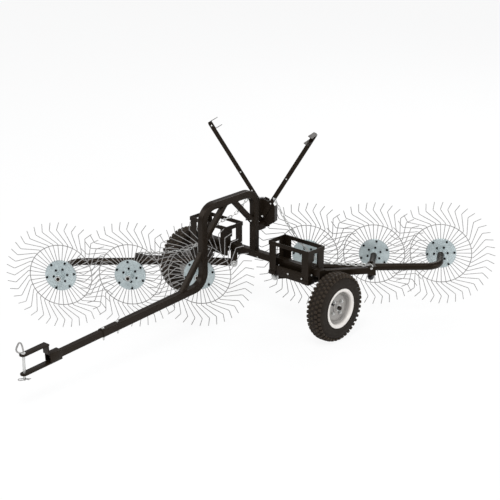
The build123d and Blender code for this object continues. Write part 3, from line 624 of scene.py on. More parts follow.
class RakeSizes(bpy.types.PropertyGroup):
    cross_bar_y: bpy.props.FloatProperty(
        name="Cross bar place", description="Place of the cross bar along the machine", default=-0.035, unit="LENGTH"
    )
    tine_count: bpy.props.IntProperty(name="Tines", description="Tines round one reel", default=40, min=6)
    tine_wire: length("Tine wire", "Diameter of a tine", 0.0042)
    tip_radius: length("Tip radius", "Reach of a tine's tip from the reel's axle", 0.325)
    tine_root: length("Tine root", "Where a tine leaves the discs", 0.078)
    ring_wire: length("Ring wire", "Diameter of the reel's ring", 0.005)
    disc_radius: length("Disc radius", "Radius of a reel's clamping discs", 0.092)
    disc_plate: length("Disc plate", "Thickness of one clamping disc", 0.003)
    outer_bolts: length("Outer bolts", "Pitch radius of the disc's outer bolts", 0.082)
    inner_bolts: length("Inner bolts", "Pitch radius of the disc's inner bolts", 0.041)
    hub_radius: length("Reel hub radius", "Radius of a reel's bearing barrel", 0.023)
    hub_proud: length("Reel hub length", "How far the barrel stands out of the disc", 0.062)
    hub_back: length("Reel hub back", "How far the barrel reaches towards the spindle", 0.034)
    tyre_radius: length("Tyre radius", "Radius over the tread blocks", 0.203)
    tyre_width: length("Tyre width", "Width of the tyre over its walls", 0.104)
    lugs_per_row: bpy.props.IntProperty(
        name="Blocks in a row", description="Tread blocks in one row", default=42, min=8
    )
    lug_height: length("Block height", "Height of a tread block", 0.0052)
    disc_bolt: length("Disc bolt", "Width across the flats of a disc bolt", 0.0125)
    small_bolt: length("Small bolt", "Width across the flats of the frame's small bolts", 0.0105)
    weld_bead: length("Weld bead", "Radius of a weld bead", 0.0032)
    frame_tube: length("Frame tube", "Width of the square frame tube", 0.042)
    tray_sheet: length("Tray sheet", "Thickness of the tray's sheet steel", 0.003)
    chain_wire: length("Chain wire", "Diameter of the chain's wire", 0.0052)
    chain_pitch: length("Chain pitch", "Inner length of one chain link", 0.0235)
    chain_width: length("Chain width", "Width of one chain link", 0.0185)


class RakeColours(bpy.types.PropertyGroup):
    frame_paint: tint("Frame paint", "Satin powder coat of the frame", (0.0095, 0.0064, 0.0040))
    disc_zinc: tint("Disc zinc", "Zinc plate of the reel discs", (0.46, 0.525, 0.53))
    bolt_zinc: tint("Bolt zinc", "Zinc plate of bolts, pins and chain", (0.60, 0.60, 0.58))
    wire: tint("Wire", "Spring steel of the tines", (0.34, 0.33, 0.32))
    rubber: tint("Rubber", "Tyre rubber", (0.0090, 0.0066, 0.0046))
    rim_paint: tint("Wheel enamel", "Paint of the road wheels", (0.74, 0.705, 0.66))
    black: tint("Black", "Knobs and blackened bolts", (0.004, 0.004, 0.0045))
    floor: tint("Floor", "Floor and backdrop as the camera sees them", (1.0, 1.0, 1.0))


# ---------------------------------------------------------------- pieces

def dress(pieces, place, body, tag):
    """Make each row's piece (maker, name, finish, slot, solid that it stands for) and give it to a body."""
    for make, name, look, slot, node in pieces:
        piece = make()
        piece.matrix_world = place @ piece.matrix_world
        hand_over(piece, f"{name}_{tag}", body, look, stands_for=(f"{node}_{tag}",) if node else ())


class RAKE_OT_reels(bpy.types.Operator):
    """Make the six reels: bent spring tines, their ring, the bolted discs and the hub barrel"""

    bl_idname = "rake.reels"
    bl_label = "Reels"

    def tines(self, sense):
        size = settings()
        tip = size.tip_radius - size.tine_wire * 0.15
        # straight out from the disc, along the long bend, and back at the hook
        line = [
            around(size.tine_root, 0), around(0.594 * tip, 0),
            around(0.856 * tip, math.radians(18 * sense)), around(tip, math.radians(15 * sense)),
        ]
        tine = rod(fillet(line, 0.011, 3), size.tine_wire / 2)
        ease_edges(tine, size.tine_wire * 0.16, segments=1, angle=80)
        tine.rotation_euler = (0, 0, math.radians(-90 - sense * 15))
        return repeat_round(settle(tine), size.tine_count)

    def ring(self):
        size = settings()
        drop_selection()
        bpy.ops.mesh.primitive_torus_add(
            major_radius=0.566 * size.tip_radius, minor_radius=size.ring_wire / 2,
            major_segments=120, minor_segments=8,
            location=(0, 0, -size.tine_wire / 2 - size.ring_wire / 2),
        )
        return settle(bpy.context.object)

    def hub(self):
        size = settings()
        wall, rim, plate = size.hub_radius, size.disc_radius, size.disc_plate
        discs = []
        for level in (size.tine_wire / 2 + 0.0002, -size.tine_wire / 2 - plate - 0.0002):
            disc = lathe(
                [
                    (wall * 0.9, 0), (rim - 0.001, 0), (rim, 0.0008), (rim, plate - 0.0008),
                    (rim - 0.001, plate), (wall * 0.9, plate),
                ],
                72, closed=True,
            )
            disc.location.z = level
            discs.append(settle(disc))
        barrel = lathe(
            [
                (0.0112, size.hub_proud - 0.004), (wall - 0.005, size.hub_proud - 0.004),
                (wall - 0.004, size.hub_proud), (wall - 0.001, size.hub_proud), (wall, size.hub_proud - 0.001),
                (wall, 0.012), (wall + 0.002, 0.009), (wall + 0.0045, size.tine_wire / 2 + plate),
                (wall + 0.0045, -size.tine_wire / 2 - plate), (wall + 0.002, -0.009), (wall, -0.012),
                (wall, -size.hub_back + 0.001), (wall - 0.001, -size.hub_back), (0.0112, -size.hub_back),
            ],
            40, closed=True,
        )
        return weld(discs + [barrel])

    def bolts(self, turn):
        size = settings()
        face = size.tine_wire / 2 + size.disc_plate
        places = []
        for radius in (size.outer_bolts, size.inner_bolts):
            for number in range(6):
                angle = turn + number * FULL_TURN / 6
                for way in (1, -1):
                    places.append(facing(around(radius, angle, way * face), (0, 0, way), angle))
        return stamp(hex_nut(size.disc_bolt, 0.005), places)

    def axle_end(self):
        washer = lathe(
            [
                (0.0103, 0), (0.0155, 0), (0.0160, 0.0005), (0.0160, 0.0018), (0.0155, 0.0023), (0.0103, 0.0023),
            ],
            28, closed=True,
        )
        washer.location.z = settings().hub_proud + 0.0006
        return settle(washer)

    def execute(self, context):
        for side, sense in (("left", -1), ("right", 1)):
            for reel in REELS:
                turn = math.radians(REEL_TURNS[side, reel])
                pieces = (
                    (lambda: self.tines(sense), "tine_wires", "wire", "spring_wire", "reel_tines"),
                    (self.ring, "tine_ring", "wire", "spring_wire", "reel_ring"),
                    (self.hub, "disc_and_hub", "disc", "zinc_plate", "reel_hub"),
                    (lambda: self.bolts(turn), "disc_bolts", "dark_bolt", "frame_paint", ""),
                    (self.axle_end, "hub_washer", "bolt", "zinc_plate", ""),
                )
                dress(pieces, reel_place(side, reel), f"reel_{side}_{reel}", f"{side}_{reel}")
        return {"FINISHED"}


class RAKE_OT_road_wheels(bpy.types.Operator):
    """Make the two road wheels: block tread on a carcass, a dished rim with its hub, nuts and valve"""

    bl_idname = "rake.road_wheels"
    bl_label = "Road wheels"

    def tyre(self):
        size = settings()
        half = size.tyre_width / 2
        base = size.tyre_radius - size.lug_height
        profile = [
            (0.1075, -0.043), (0.112, -0.0475), (0.121, -0.0495), (0.124, -0.0515), (0.127, -0.0502),
            (0.138, -half + 0.0005), (0.152, -half), (0.166, -half + 0.0015), (0.176, -half + 0.006),
            (0.1845, -half + 0.0125), (0.1915, -half + 0.022), (base - 0.001, -half + 0.036), (base, -0.008),
            (base, 0.008), (base - 0.001, half - 0.036), (0.1905, half - 0.022), (0.1845, half - 0.0125),
            (0.176, half - 0.006), (0.166, half - 0.0015), (0.152, half), (0.138, half - 0.0005),
            (0.127, 0.0502), (0.124, 0.0515), (0.121, 0.0495), (0.112, 0.0475), (0.1075, 0.043),
            (0.1075, 0.036), (0.135, 0.036), (0.135, -0.036), (0.1075, -0.036),
        ]
        carcass = lathe(profile, 96, closed=True)
        rows = []
        count = size.lugs_per_row
        deep = size.lug_height + 0.004
        # row: place across the tread, drop of its top, tilt outwards, half-pitch shift, length across, length round
        for across, drop, tilt, shift, wide, long in (
            (-0.0425, 0.0098, -42, 0.5, 0.0175, 0.0180),
            (-0.0225, 0.0012, -9, 0.0, 0.0180, 0.0185),
            (0.0, 0.0, 0, 0.5, 0.0180, 0.0185),
            (0.0225, 0.0012, 9, 0.0, 0.0180, 0.0185),
            (0.0425, 0.0098, 42, 0.5, 0.0175, 0.0180),
        ):
            lug = block((deep, long, wide))
            pick_faces(lug, (1, 0, 0))
            bpy.ops.transform.resize(value=(1, 0.74, 0.74))
            leave_edit()
            ease_edges(lug, 0.0011, segments=1)
            reach = size.tyre_radius - drop - deep / 2 - 0.0002
            lug.matrix_world = (
                Matrix.Rotation(shift * FULL_TURN / count, 4, "Z") @ Matrix.Translation((reach, 0, across))
                @ Matrix.Rotation(-math.radians(tilt), 4, "Y")
            )
            rows.append(repeat_round(settle(lug), count))
        return weld([carcass, *rows])

    def rim(self):
        profile = [
            (0.1180, 0.0475), (0.1174, 0.0492), (0.1155, 0.0499), (0.1120, 0.0500), (0.1040, 0.0490),
            (0.1010, 0.0478), (0.0990, 0.0450), (0.0975, 0.0400), (0.0955, 0.0210), (0.0930, 0.0130),
            (0.0880, 0.0095), (0.0820, 0.0105), (0.0770, 0.0150), (0.0710, 0.0178), (0.0520, 0.0170),
            (0.0400, 0.0160), (0.0325, 0.0160), (0.0325, 0.0120), (0.0520, 0.0130), (0.0700, 0.0140),
            (0.0800, 0.0070), (0.0890, 0.0055), (0.0890, -0.0250), (0.0985, -0.0330), (0.1040, -0.0400),
            (0.1120, -0.0470), (0.1145, -0.0497), (0.1165, -0.0500), (0.1180, -0.0492), (0.1180, -0.0470),
            (0.1072, -0.0380), (0.1066, -0.0280), (0.0930, -0.0210), (0.0930, 0.0210), (0.1066, 0.0280),
            (0.1072, 0.0380), (0.1180, 0.0470),
        ]
        return lathe(profile, 96, closed=True)

    def hub(self):
        return lathe(
            [
                (0.0132, 0.0300), (0.0205, 0.0300), (0.0222, 0.0284), (0.0226, 0.0235), (0.0300, 0.0215),
                (0.0320, 0.0205), (0.0320, -0.0440), (0.0310, -0.0450), (0.0132, -0.0450),
            ],
            48, closed=True,
        )

    def fasteners(self):
        angles = [math.radians(35) + number * FULL_TURN / 4 for number in range(4)]
        nuts = stamp(
            hex_nut(0.0140, 0.009, 0.0012), [facing(around(0.047, angle, 0.0190), UP, angle) for angle in angles]
        )
        washer = lathe(
            [
                (0.0129, 0.0302), (0.0190, 0.0302), (0.0196, 0.0308), (0.0196, 0.0322), (0.0190, 0.0328),
                (0.0129, 0.0328),
            ],
            32, closed=True,
        )
        pin = rod([(-0.0185, 0, 0.0385), (0.0165, 0, 0.0385), (0.0205, 0.0012, 0.0350)], 0.0018)
        return weld([nuts, washer, pin])

    def valve(self):
        stem = lathe(
            [
                (0, 0.038), (0.0048, 0.038), (0.0060, 0.0365), (0.0060, 0.024), (0.0046, 0.0225),
                (0.0046, 0.009), (0.0078, 0.006), (0.0086, 0), (0, 0),
            ],
            16,
        )
        stem.matrix_world = Matrix.Translation((0.0905, 0, 0.014)) @ Matrix.Rotation(math.radians(-12), 4, "Y")
        settle(stem).matrix_world = Matrix.Rotation(math.radians(148), 4, "Z")
        return stem

    def execute(self, context):
        pieces = (
            (self.tyre, "block_tread_tyre", "rubber", "tyre", "tyre"),
            (self.rim, "dished_rim", "rim", "rim_paint", "rim"),
            (self.hub, "road_hub", "rim", "rim_paint", ""),
            (self.fasteners, "wheel_nuts", "bolt", "zinc_plate", ""),
            (self.valve, "valve_stem", "dark_bolt", "tyre", ""),
        )
        for side, way in (("left", 1), ("right", -1)):
            place = facing(JOINTS[f"wheel_{side}_spin"]["pos_m"], (way, 0, 0))
            dress(pieces, place, f"wheel_{side}", side)
        return {"FINISHED"}


class RAKE_OT_frame_paint(bpy.types.Operator):
    """Paint the solids that stay: the frame, the arms, the gangs and the levers"""

    bl_idname = "rake.frame_paint"
    bl_label = "Paint"

    def execute(self, context):
        for node in frame["nodes"].values():
            node.data.materials.clear()
            node.data.materials.append(looks()["paint"])
        return {"FINISHED"}


class RAKE_OT_frame_trim(bpy.types.Operator):
    """Add weld beads, the drawbar bolts and the small bolts of the frame and trays"""

    bl_idname = "rake.frame_trim"
    bl_label = "Frame trim"

    def beads(self):
        tube = settings().frame_tube
        bar_y = settings().cross_bar_y
        seams = [square_round(Matrix.Translation((0, bar_y, CROSS_BAR_Z + tube / 2)), tube)]
        for way in (1, -1):
            seams.append(square_round(facing((way * 0.512, bar_y, CROSS_BAR_Z), (way, 0, 0)), tube))
        half = 0.0145
        # each foot of a brace: its two ends along the tube it stands on, in the machine's middle plane
        for low, high in (
            ((-0.661, 0.3295), (-0.6215, 0.3315)), ((-0.4935, 0.483), (-0.4935, 0.5285)),
            ((-0.4505, 0.582), (-0.4505, 0.6245)), ((-0.3145, 0.7575), (-0.2735, 0.7575)),
            ((-0.2315, 0.7575), (-0.1895, 0.7575)), ((-0.0565, 0.6245), (-0.0565, 0.5865)),
        ):
            seams.append([(-half, *low), (half, *low), (half, *high), (-half, *high)])
        return weld([seam(corners) for corners in seams])

    def drawbar_bolts(self):
        up = Vector((0, -math.sin(DRAWBAR_FALL), math.cos(DRAWBAR_FALL)))
        heads, nuts, shanks = [], [], []
        for y in (-1.256, -1.150):
            middle = Vector((0, y, DRAWBAR_REAR_Z + (y - DRAWBAR_REAR_Y) * math.tan(DRAWBAR_FALL)))
            heads.append(facing(middle + up * 0.0211, up, 0.4))
            nuts.append(facing(middle - up * 0.0211, -up, 0.9))
            shanks.append(facing(middle - up * 0.0300, -up))
        shank = lathe([(0, 0.0175), (0.0040, 0.0175), (0.0048, 0.0165), (0.0048, 0), (0, 0)], 16)
        return weld([
            stamp(hex_nut(0.016, 0.007), heads), stamp(hex_nut(0.016, 0.010, 0.0018), nuts), stamp(shank, shanks),
        ])

    def small_bolts(self):
        places = []
        for way in (1, -1):
            # front and rear rails of the tray: place across, front face, rear face
            for x, front, rear in ((0.313, -0.0902, 0.0422), (0.420, -0.0962, 0.0482)):
                places.append(facing((way * x, front, 0.3585), (0, -1, 0), x * 9))
                places.append(facing((way * x, rear, 0.3585), (0, 1, 0), x * 7))
            for y in (-0.070, 0.020):
                places.append(facing((way * 0.4682, y, 0.385), (way, 0, 0), y * 9))
            for y in (-0.079, 0.031):
                places.append(facing((way * 0.1658, y, 0.405), (-way, 0, 0), y * 9))
            places.append(facing((way * 0.046, -0.0562, 0.384), (0, -1, 0), 0.3))
            places.append(facing((way * 0.0152, -0.086, 0.612), (way, 0, 0), 0.3))
        return stamp(hex_nut(settings().small_bolt, 0.005), places)

    def execute(self, context):
        hand_over(self.beads(), "frame_welds", "frame", "paint", angle=60)
        hand_over(self.drawbar_bolts(), "drawbar_bolts", "frame", "bolt")
        hand_over(self.small_bolts(), "frame_and_tray_bolts", "frame", "bolt")
        return {"FINISHED"}


class RAKE_OT_tray_decks(bpy.types.Operator):
    """Make the two tray decks: a folded pan under the cross bar, and end plates that the bar runs through"""

    bl_idname = "rake.tray_decks"
    bl_label = "Tray decks"

    def pan(self, way, passage):
        """One pan round its own middle; way is 1 on the left, passage the reach of the arm's gap fore and aft."""
        size = settings()
        sheet, wide, deep = size.tray_sheet, 0.290, 0.132
        low, floor, lip, top = 0.326, 0.374, 0.388, 0.432
        bar_y, bar_wide = -0.011, size.frame_tube + 0.0008
        near, far = passage
        pan = block((wide, deep, lip - low), (0, 0, (lip + low) / 2))
        for look_to, drop in ((1, lip - floor - sheet), (-1, floor - low)):
            pick_faces(pan, (0, 0, look_to))
            bpy.ops.mesh.inset(thickness=sheet, depth=0)
            push_out((0, 0, -look_to * drop))
            leave_edit()
        # room for the cross bar, for the arm's bracket, and for the arm as it lifts
        cut(
            pan,
            block((0.4, bar_wide, 0.060), (0, bar_y, 0.4075)),
            block((0.050, 0.092, 0.0375), (-way * (wide / 2 - 0.014), bar_y, 0.3588)),
            block((0.170, far - near, 0.030), (-way * (wide / 2 - 0.075), (far + near) / 2, 0.335)),
        )
        pieces = [pan]
        for end in (1, -1):
            plate = block((sheet, deep - 0.0004, top - lip), (end * (wide - sheet) / 2, 0, (top + lip) / 2 - 0.0002))
            cut(plate, block((0.02, bar_wide, 0.060), (end * wide / 2, bar_y, 0.3902)))
            pieces.append(plate)
        pan = weld(pieces + self.feet(way, passage))
        ease_edges(pan, 0.0007, angle=60)
        return pan

    def feet(self, way, passage):
        """Lower ends of the corner angles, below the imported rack."""
        sheet, reach, high = settings().tray_sheet, 0.050, 0.0239
        middle = 0.326 + high / 2
        feet = []
        for across, along in ((1, 1), (1, -1), (-1, 1), (-1, -1)):
            edge = 0.072 * along
            if across < 0 and passage[0] < edge < passage[1]:
                continue
            outer = way * across * (0.151 - reach / 2)
            feet.append(block((reach, sheet, high), (outer, along * (0.072 - sheet / 2), middle)))
            long = reach - sheet if across > 0 else 0.012
            side = way * across * (0.151 - sheet / 2)
            feet.append(block((sheet, long, high), (side, along * (0.072 - sheet - long / 2), middle)))
        return feet

    def execute(self, context):
        for side, way, passage in (("left", 1, (-0.057, 0.084)), ("right", -1, (-0.086, 0.035))):
            pan = self.pan(way, passage)
            pan.matrix_world = Matrix.Translation((way * 0.317, -0.024, 0))
            hand_over(pan, f"tray_pan_{side}", "frame", "paint", stands_for=(f"tray_deck_{side}",))
        return {"FINISHED"}


class RAKE_OT_hitch(bpy.types.Operator):
    """Make the hitch: sleeve, the two fork bars, the pin with its ring handle and the spring clip"""

    bl_idname = "rake.hitch"
    bl_label = "Hitch"

    bar_wide = 0.044
    bar_thick = 0.008
    pin_top = 0.3270

    def sleeve(self):
        sleeve = block((0.048, 0.083, 0.048))
        ease_edges(sleeve, 0.004, 3)
        pick_faces(sleeve, (0, -1, 0))
        bpy.ops.mesh.inset(thickness=0.002)
        push_out((0, 0.045, 0))
        leave_edit()
        return sleeve

    def fork_bar(self, length, drop=0.0):
        """Flat bar with a round front end; where drop is given, it bends and goes down that far."""
        thick, corners = self.bar_thick, 32
        bar = cylinder(corners, self.bar_wide / 2, thick, -thick / 2)
        pick(bar, "VERT", lambda vertex: vertex.co.y > 1e-5)
        bpy.ops.transform.resize(value=(1 / math.cos(FULL_TURN / corners), 0, 1), center_override=(0, 0, 0))
        bpy.ops.transform.translate(value=(0, length, 0))
        bpy.ops.mesh.remove_doubles(threshold=1e-6)
        leave_edit()
        if drop:
            pick_faces(bar, (0, 1, 0))
            bpy.ops.mesh.spin(
                steps=6, angle=-math.pi / 2, center=(0, length, -thick / 2 - 0.004), axis=(1, 0, 0)
            )
            push_out((0, 0, -drop))
            leave_edit()
        ease_edges(bar, 0.0008, 2)
        return bar

    def pin(self):
        top, foot, radius = self.pin_top, 0.176, 0.0079
        return lathe(
            [
                (0, top + 0.008), (0.0095, top + 0.0075), (0.0115, top + 0.006), (0.012, top + 0.0005),
                (0.0115, top), (radius, top), (radius, foot + 0.004), (radius - 0.003, foot), (0, foot),
            ],
            24,
        )

    def handle(self):
        """Long bail of thick wire that leans towards the front."""
        loop = (
            (0.001, 0.003), (0.000, 0.024), (-0.004, 0.046), (-0.0095, 0.0605), (-0.0165, 0.0635),
            (-0.0225, 0.0580), (-0.0280, 0.0460), (-0.0345, 0.0310), (-0.0365, 0.0200), (-0.0320, 0.0100),
            (-0.0210, 0.0050), (-0.0090, 0.0045),
        )
        handle = rod([around(x, math.radians(42), self.pin_top + z) for x, z in loop], 0.0054, sides=2, closed=True)
        finish_with(handle, "SUBSURF", levels=1)
        return handle

    def clip(self):
        # straight leg through the pin, a full curl, and the waved leg that springs round the pin
        line = [(0.034, 0.0, 0), (-0.020, 0.0, 0)]
        curl = 0.0085
        for step in range(13):
            angle = math.pi / 2 + step * math.radians(24)
            line.append((-0.024 + curl * math.cos(angle), -curl + curl * math.sin(angle), -0.0003 * step))
        line += [
            (-0.013, -0.0130, -0.0034), (0.0, -0.0098, -0.002), (0.010, -0.0058, 0), (0.019, -0.0098, 0),
            (0.026, -0.0140, 0),
        ]
        return rod(line, 0.0023)

    def execute(self, context):
        fall = Matrix.Rotation(DRAWBAR_FALL, 4, "X")
        clip_turn = Matrix.Rotation(math.radians(44), 4, "Z")
        # row: piece, name, place, turn, finish, slot, solids that it stands for
        for thing, name, (y, z), turn, look, slot, stands in (
            (self.sleeve(), "hitch_sleeve", (-1.6115, 0.2540), fall, "paint", "frame_paint", ("hitch_collar",)),
            (
                self.fork_bar(0.160, 0.046), "upper_fork_bar", (HITCH_HOLE_Y, 0.3225), fall, "paint", "frame_paint",
                ("hitch_upper_strap",),
            ),
            (
                self.fork_bar(0.246), "lower_fork_bar", (HITCH_HOLE_Y, 0.2140), fall, "paint", "frame_paint",
                ("hitch_lower_strap",),
            ),
            (self.pin(), "hitch_pin_shank", (HITCH_HOLE_Y, 0), Matrix(), "bolt", "zinc_plate", ("hitch_pin",)),
            (self.handle(), "hitch_pin_handle", (HITCH_HOLE_Y, 0), Matrix(), "wire", "spring_wire", ()),
            (self.clip(), "spring_clip", (HITCH_HOLE_Y, 0.186), clip_turn, "wire", "spring_wire", ("hitch_hairpin",)),
        ):
            thing.matrix_world = Matrix.Translation((0, y, z)) @ turn
            hand_over(thing, name, "frame", look, stands_for=stands)
        return {"FINISHED"}


class RAKE_OT_arm_joints(bpy.types.Operator):
    """Make the swivel bolts with their ball knobs, the arm pivot bolts and the welds of the arms"""

    bl_idname = "rake.arm_joints"
    bl_label = "Arm joints"

    def swivel(self):
        pin = lathe([(0, 0.0285), (0.0079, 0.0285), (0.0079, -0.0500), (0.0060, -0.0510), (0, -0.0510)], 24)
        head = hex_nut(0.019, 0.007, 0.0018)
        head.location.z = 0.0284
        return weld([pin, settle(head)])

    def knob(self):
        radius, low = 0.0200, -0.0615
        profile = [(0, low - radius)]
        for step in range(1, 12):
            angle = -math.pi / 2 + step * math.radians(13.5)
            profile.append((radius * math.cos(angle), low + radius * math.sin(angle)))
        profile += [(0.0105, low + radius * 0.9), (0.0105, -0.0440), (0, -0.0440)]
        return lathe(profile, 32)

    def pivot_bolt(self):
        return through_bolt(0.0302, 0.0079, 20, hex_nut(0.024, 0.010, 0.0026))

    def arm_welds(self):
        """Beads where the fork's two plates stand on the arm."""
        near, far, half = -0.0665, -0.0310, 0.0215
        rows = []
        for level in (0.0222, -0.0222):
            rows.append([(-half, far, level), (half, far, level), (half, near, level), (-half, near, level)])
        return weld([seam(row) for row in rows])

    def execute(self, context):
        swivel = arm_place()
        lift = JOINTS["arm_left_lift"]
        pivot = facing(lift["pos_m"], lift["axis"])
        for side, turn in sides():
            for row, place, body in (
                ((self.swivel, "swivel_bolt", "paint", "frame_paint", "swing_pin"), swivel, f"arm_{side}"),
                ((self.knob, "ball_knob", "knob", "frame_paint", ""), swivel, f"arm_{side}"),
                ((self.pivot_bolt, "arm_bolt", "bolt", "zinc_plate", "arm_pivot_bolt"), pivot, "frame"),
                ((self.arm_welds, "arm_welds", "paint", "frame_paint", ""), swivel, f"arm_{side}"),
            ):
                dress([row], turn @ place, body, side)
        return {"FINISHED"}


class RAKE_OT_levers(bpy.types.Operator):
    """Add the bolts of the lift levers and their common pivot bolt"""

    bl_idname = "rake.levers"
    bl_label = "Lever bolts"

    def bolts(self, lean, level, spots, grip_level):
        """Bolts up the front face of a lever, with nuts behind the chain's ones, and the grip's bolt."""
        places = [facing((0.608 * math.sin(lean), 0.608 * math.cos(lean), grip_level), UP)]
        nuts = []
        for radius in spots:
            spot = (radius * math.sin(lean), radius * math.cos(lean))
            places.append(facing((*spot, level), UP))
            if radius > 0.15:
                nuts.append(facing((*spot, level - 0.0061), (0, 0, -1), 0.4))
        return weld([stamp(round_head(0.0105, 0.0036), places), stamp(hex_nut(0.0095, 0.005), nuts)])

    def execute(self, context):
        place = lever_place()
        pivot = through_bolt(0.0313, 0.0049, 16, hex_nut(0.013, 0.006))
        pivot.matrix_world = place
        hand_over(pivot, "lever_bolt", "frame", "bolt", stands_for=("lever_pivot_bolt",))
        # lever: lean, front face, places of its bolts up the bar, face under the grip's bolt
        for side, lean, level, spots, grip_level in (
            ("left", 31.2, 0.0311, (0.098, 0.288), 0.0340), ("right", -35.6, -0.0249, (0.158, 0.286), -0.0249),
        ):
            bolts = self.bolts(math.radians(lean), level, spots, grip_level)
            bolts.matrix_world = place
            hand_over(bolts, f"lever_bolts_{side}", f"lever_{side}", "bolt")
        return {"FINISHED"}


class RAKE_OT_chains(bpy.types.Operator):
    """Make the two lift chains, link by link, from the levers down to the arms"""

    bl_idname = "rake.chains"
    bl_label = "Lift chains"

    def link(self):
        size = settings()
        bend = size.chain_width / 2 - size.chain_wire / 2
        straight = size.chain_pitch / 2 + size.chain_wire / 2 - bend
        line = []
        for way in (1, -1):
            for step in range(5):
                angle = -math.pi / 2 + step * math.pi / 4
                line.append((way * (straight + bend * math.cos(angle)), way * bend * math.sin(angle), 0))
        return rod(line, size.chain_wire / 2, closed=True)

    def smooth_line(self, points):
        """Places one pitch apart on a smooth line through the points."""
        pitch = settings().chain_pitch
        whole = [2 * points[0] - points[1], *points, 2 * points[-1] - points[-2]]
        picked = [points[0]]
        for a, b, c, d in zip(whole, whole[1:], whole[2:], whole[3:]):
            for step in range(1, 61):
                t = step / 60
                spot = (2 * b + (c - a) * t + (2 * a - 5 * b + 4 * c - d) * t**2 + (3 * b - a - 3 * c + d) * t**3) / 2
                gap = spot - picked[-1]
                if gap.length >= pitch:
                    picked.append(picked[-1] + gap.normalized() * pitch)
        return picked

    def links(self, line, flat, first):
        places = []
        for index, (start, end) in enumerate(zip(line, line[1:])):
            along = (end - start).normalized()
            sideways = flat.cross(along).normalized()
            normal = along.cross(sideways) if (index + first) % 2 == 0 else sideways
            places.append(axes_at((start + end) / 2, along, normal))
        return stamp(self.link(), places)

    def execute(self, context):
        lever, arm = lever_place(), arm_place()
        # the left chain hangs from the lever's front face, the right one from its front face behind the sector
        lever_lines = {
            "left": ((75.6, 120, 34), (98, 81, 34.5), (151, -8, 34.5), (215, -92, 34), (285, -166, 33)),
            "right": (
                (-92, 111, -22), (-110, 91, -22), (-142, 44, -14), (-182, -16, 30), (-262, -62, 115), (-340, -160, 141),
            ),
        }
        arm_line = ((-302, 26), (-231, 13), (-142, 4), (-60, 0.6), (-6, 0.2))
        ahead = (lever.to_3x3() @ UP).normalized()
        for side, turn in sides():
            upper = [lever @ (Vector(spot) / 1000) for spot in lever_lines[side]]
            lower = [turn @ arm @ Vector((back / 1000, -0.049, 0.0312 + above / 1000)) for back, above in arm_line]
            lower += [turn @ arm @ Vector(spot) for spot in ((0.002, -0.0655, 0.0290), (-0.003, -0.0712, 0.0175))]
            line = self.smooth_line(upper + lower)
            middle = min(range(len(line)), key=lambda index: (line[index] - upper[-1]).length)
            hang = line[middle]
            top = self.links(line[:middle + 1], ahead, 0)
            bottom = self.links(line[middle:], UP, middle + 1)
            for piece, name, start, end, bodies in (
                (top, "chain_upper", line[0], hang, (f"lever_{side}", "frame")),
                (bottom, "chain_lower", hang, line[-1], ("frame", f"arm_{side}")),
            ):
                finished(piece, f"lift_{name}_{side}", "bolt", 60, (f"{name}_{side}",))
                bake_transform(piece)
            hook, foot = hex_nut(0.0125, 0.006), hex_nut(0.0095, 0.005, 0.001)
            hook.matrix_world = facing(line[0] + ahead * 0.003, ahead)
            foot.matrix_world = turn @ arm @ facing((-0.004, -0.0678, 0.0165), (0, -1, 0))
            hand_over(hook, f"chain_bolt_{side}", f"lever_{side}", "bolt")
            hand_over(foot, f"chain_foot_{side}", f"arm_{side}", "bolt")
        return {"FINISHED"}


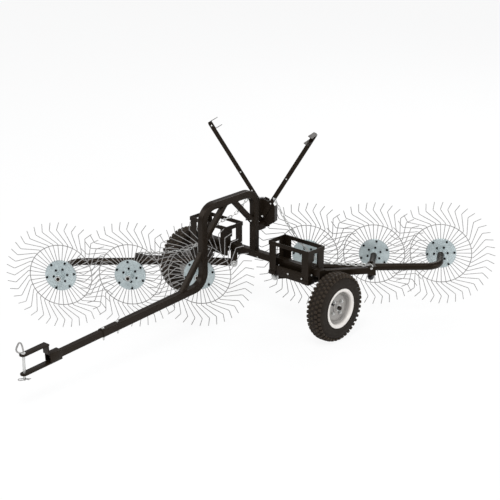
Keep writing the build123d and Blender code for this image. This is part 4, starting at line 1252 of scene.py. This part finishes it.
class RAKE_OT_stage(bpy.types.Operator):
    """Set the pale floor, the soft lamps and the camera of the photograph"""

    bl_idname = "rake.stage"
    bl_label = "Stage"

    def floor(self):
        """Floor that shows white to the camera and keeps only the soft shadow of the machine."""
        drop_selection()
        bpy.ops.mesh.primitive_plane_add(size=60, location=(0, 0, -0.0005))
        floor = settle(bpy.context.object)
        floor.name = "studio_floor"
        look = bpy.data.materials.new("studio_floor")
        tree = emptied(look)
        grey = add_node(tree, "BsdfPrincipled", **{"Base Color": (0.92, 0.92, 0.92), "Roughness": 0.9})
        white = add_node(tree, "Emission", Color=tuple(colours().floor), Strength=1.0)
        share = math_node(tree, "MULTIPLY", add_node(tree, "LightPath").outputs["Is Camera Ray"], 0.9)
        add_node(tree, "OutputMaterial", Surface=mix_shaders(tree, share, grey, white))
        floor.data.materials.append(look)

    def sky(self):
        """Soft light from all round, and a white ground behind the machine."""
        world = bpy.data.worlds.new("studio")
        bpy.context.scene.world = world
        tree = emptied(world)
        ray = add_node(tree, "LightPath").outputs
        light = add_node(tree, "Background", Color=(0.93, 0.95, 1.0), Strength=0.42)
        seen = add_node(tree, "Background", Color=tuple(colours().floor), Strength=1.0)
        share = math_node(tree, "MAXIMUM", ray["Is Camera Ray"], ray["Is Transmission Ray"])
        add_node(tree, "OutputWorld", Surface=mix_shaders(tree, share, light, seen))

    def execute(self, context):
        self.floor()
        self.sky()
        # lamp: name, place, aim, power, size
        for name, place, aim, power, wide in (
            ("key_lamp", (2.4, -3.4, 5.8), (0, 0, 0.3), 290, 2.8),
            ("fill_lamp", (-4.6, -3.2, 3.6), (0, 0, 0.4), 110, 3.4),
            ("back_lamp", (-1.6, 4.6, 4.4), (0, 0, 0.5), 150, 3.2),
            ("low_lamp", (4.8, 1.8, 1.6), (0.3, 0, 0.3), 60, 2.4),
        ):
            drop_selection()
            bpy.ops.object.light_add(type="AREA", location=place)
            lamp = bpy.context.object
            lamp.name = name
            lamp.data.energy = power
            lamp.data.size = wide
            lamp.rotation_euler = (Vector(aim) - Vector(place)).to_track_quat("-Z", "Y").to_euler()

        drop_selection()
        bpy.ops.object.camera_add(location=(6.0707, -6.7892, 3.7453))
        camera = bpy.context.object
        camera.name = "photo_camera"
        camera.rotation_euler = (math.radians(90 - 20.149), 0, math.radians(42.183))
        camera.data.lens = 118.24
        camera.data.sensor_width = 36
        camera.data.shift_x = 0.004
        camera.data.clip_end = 200
        bpy.context.scene.camera = camera
        bpy.context.scene.view_settings.view_transform = "Standard"
        return {"FINISHED"}


class RAKE_PT_panel(bpy.types.Panel):
    """Sizes, colours and making of the rake"""

    bl_label = "Acreage rake"
    bl_idname = "RAKE_PT_panel"
    bl_space_type = "VIEW_3D"
    bl_region_type = "UI"
    bl_category = "Rake"

    def draw(self, context):
        layout = self.layout
        for operator in OPERATORS:
            layout.operator(operator.bl_idname)
        for group in (context.scene.rake_sizes, context.scene.rake_colours):
            box = layout.box()
            for key in group.bl_rna.properties.keys():
                if key not in ("rna_type", "name"):
                    box.prop(group, key)


OPERATORS = (
    RAKE_OT_stage,
    RAKE_OT_frame_paint,
    RAKE_OT_reels,
    RAKE_OT_road_wheels,
    RAKE_OT_frame_trim,
    RAKE_OT_tray_decks,
    RAKE_OT_hitch,
    RAKE_OT_arm_joints,
    RAKE_OT_levers,
    RAKE_OT_chains,
)
CLASSES = (RakeSizes, RakeColours, *OPERATORS, RAKE_PT_panel)


def register():
    for kind in CLASSES:
        bpy.utils.register_class(kind)
    bpy.types.Scene.rake_sizes = bpy.props.PointerProperty(type=RakeSizes)
    bpy.types.Scene.rake_colours = bpy.props.PointerProperty(type=RakeColours)


def unregister():
    del bpy.types.Scene.rake_colours
    del bpy.types.Scene.rake_sizes
    for kind in reversed(CLASSES):
        bpy.utils.unregister_class(kind)


def main():
    register()
    for operator in OPERATORS:
        group, name = operator.bl_idname.split(".")
        getattr(getattr(bpy.ops, group), name)()


if __name__ == "__main__":
    main()
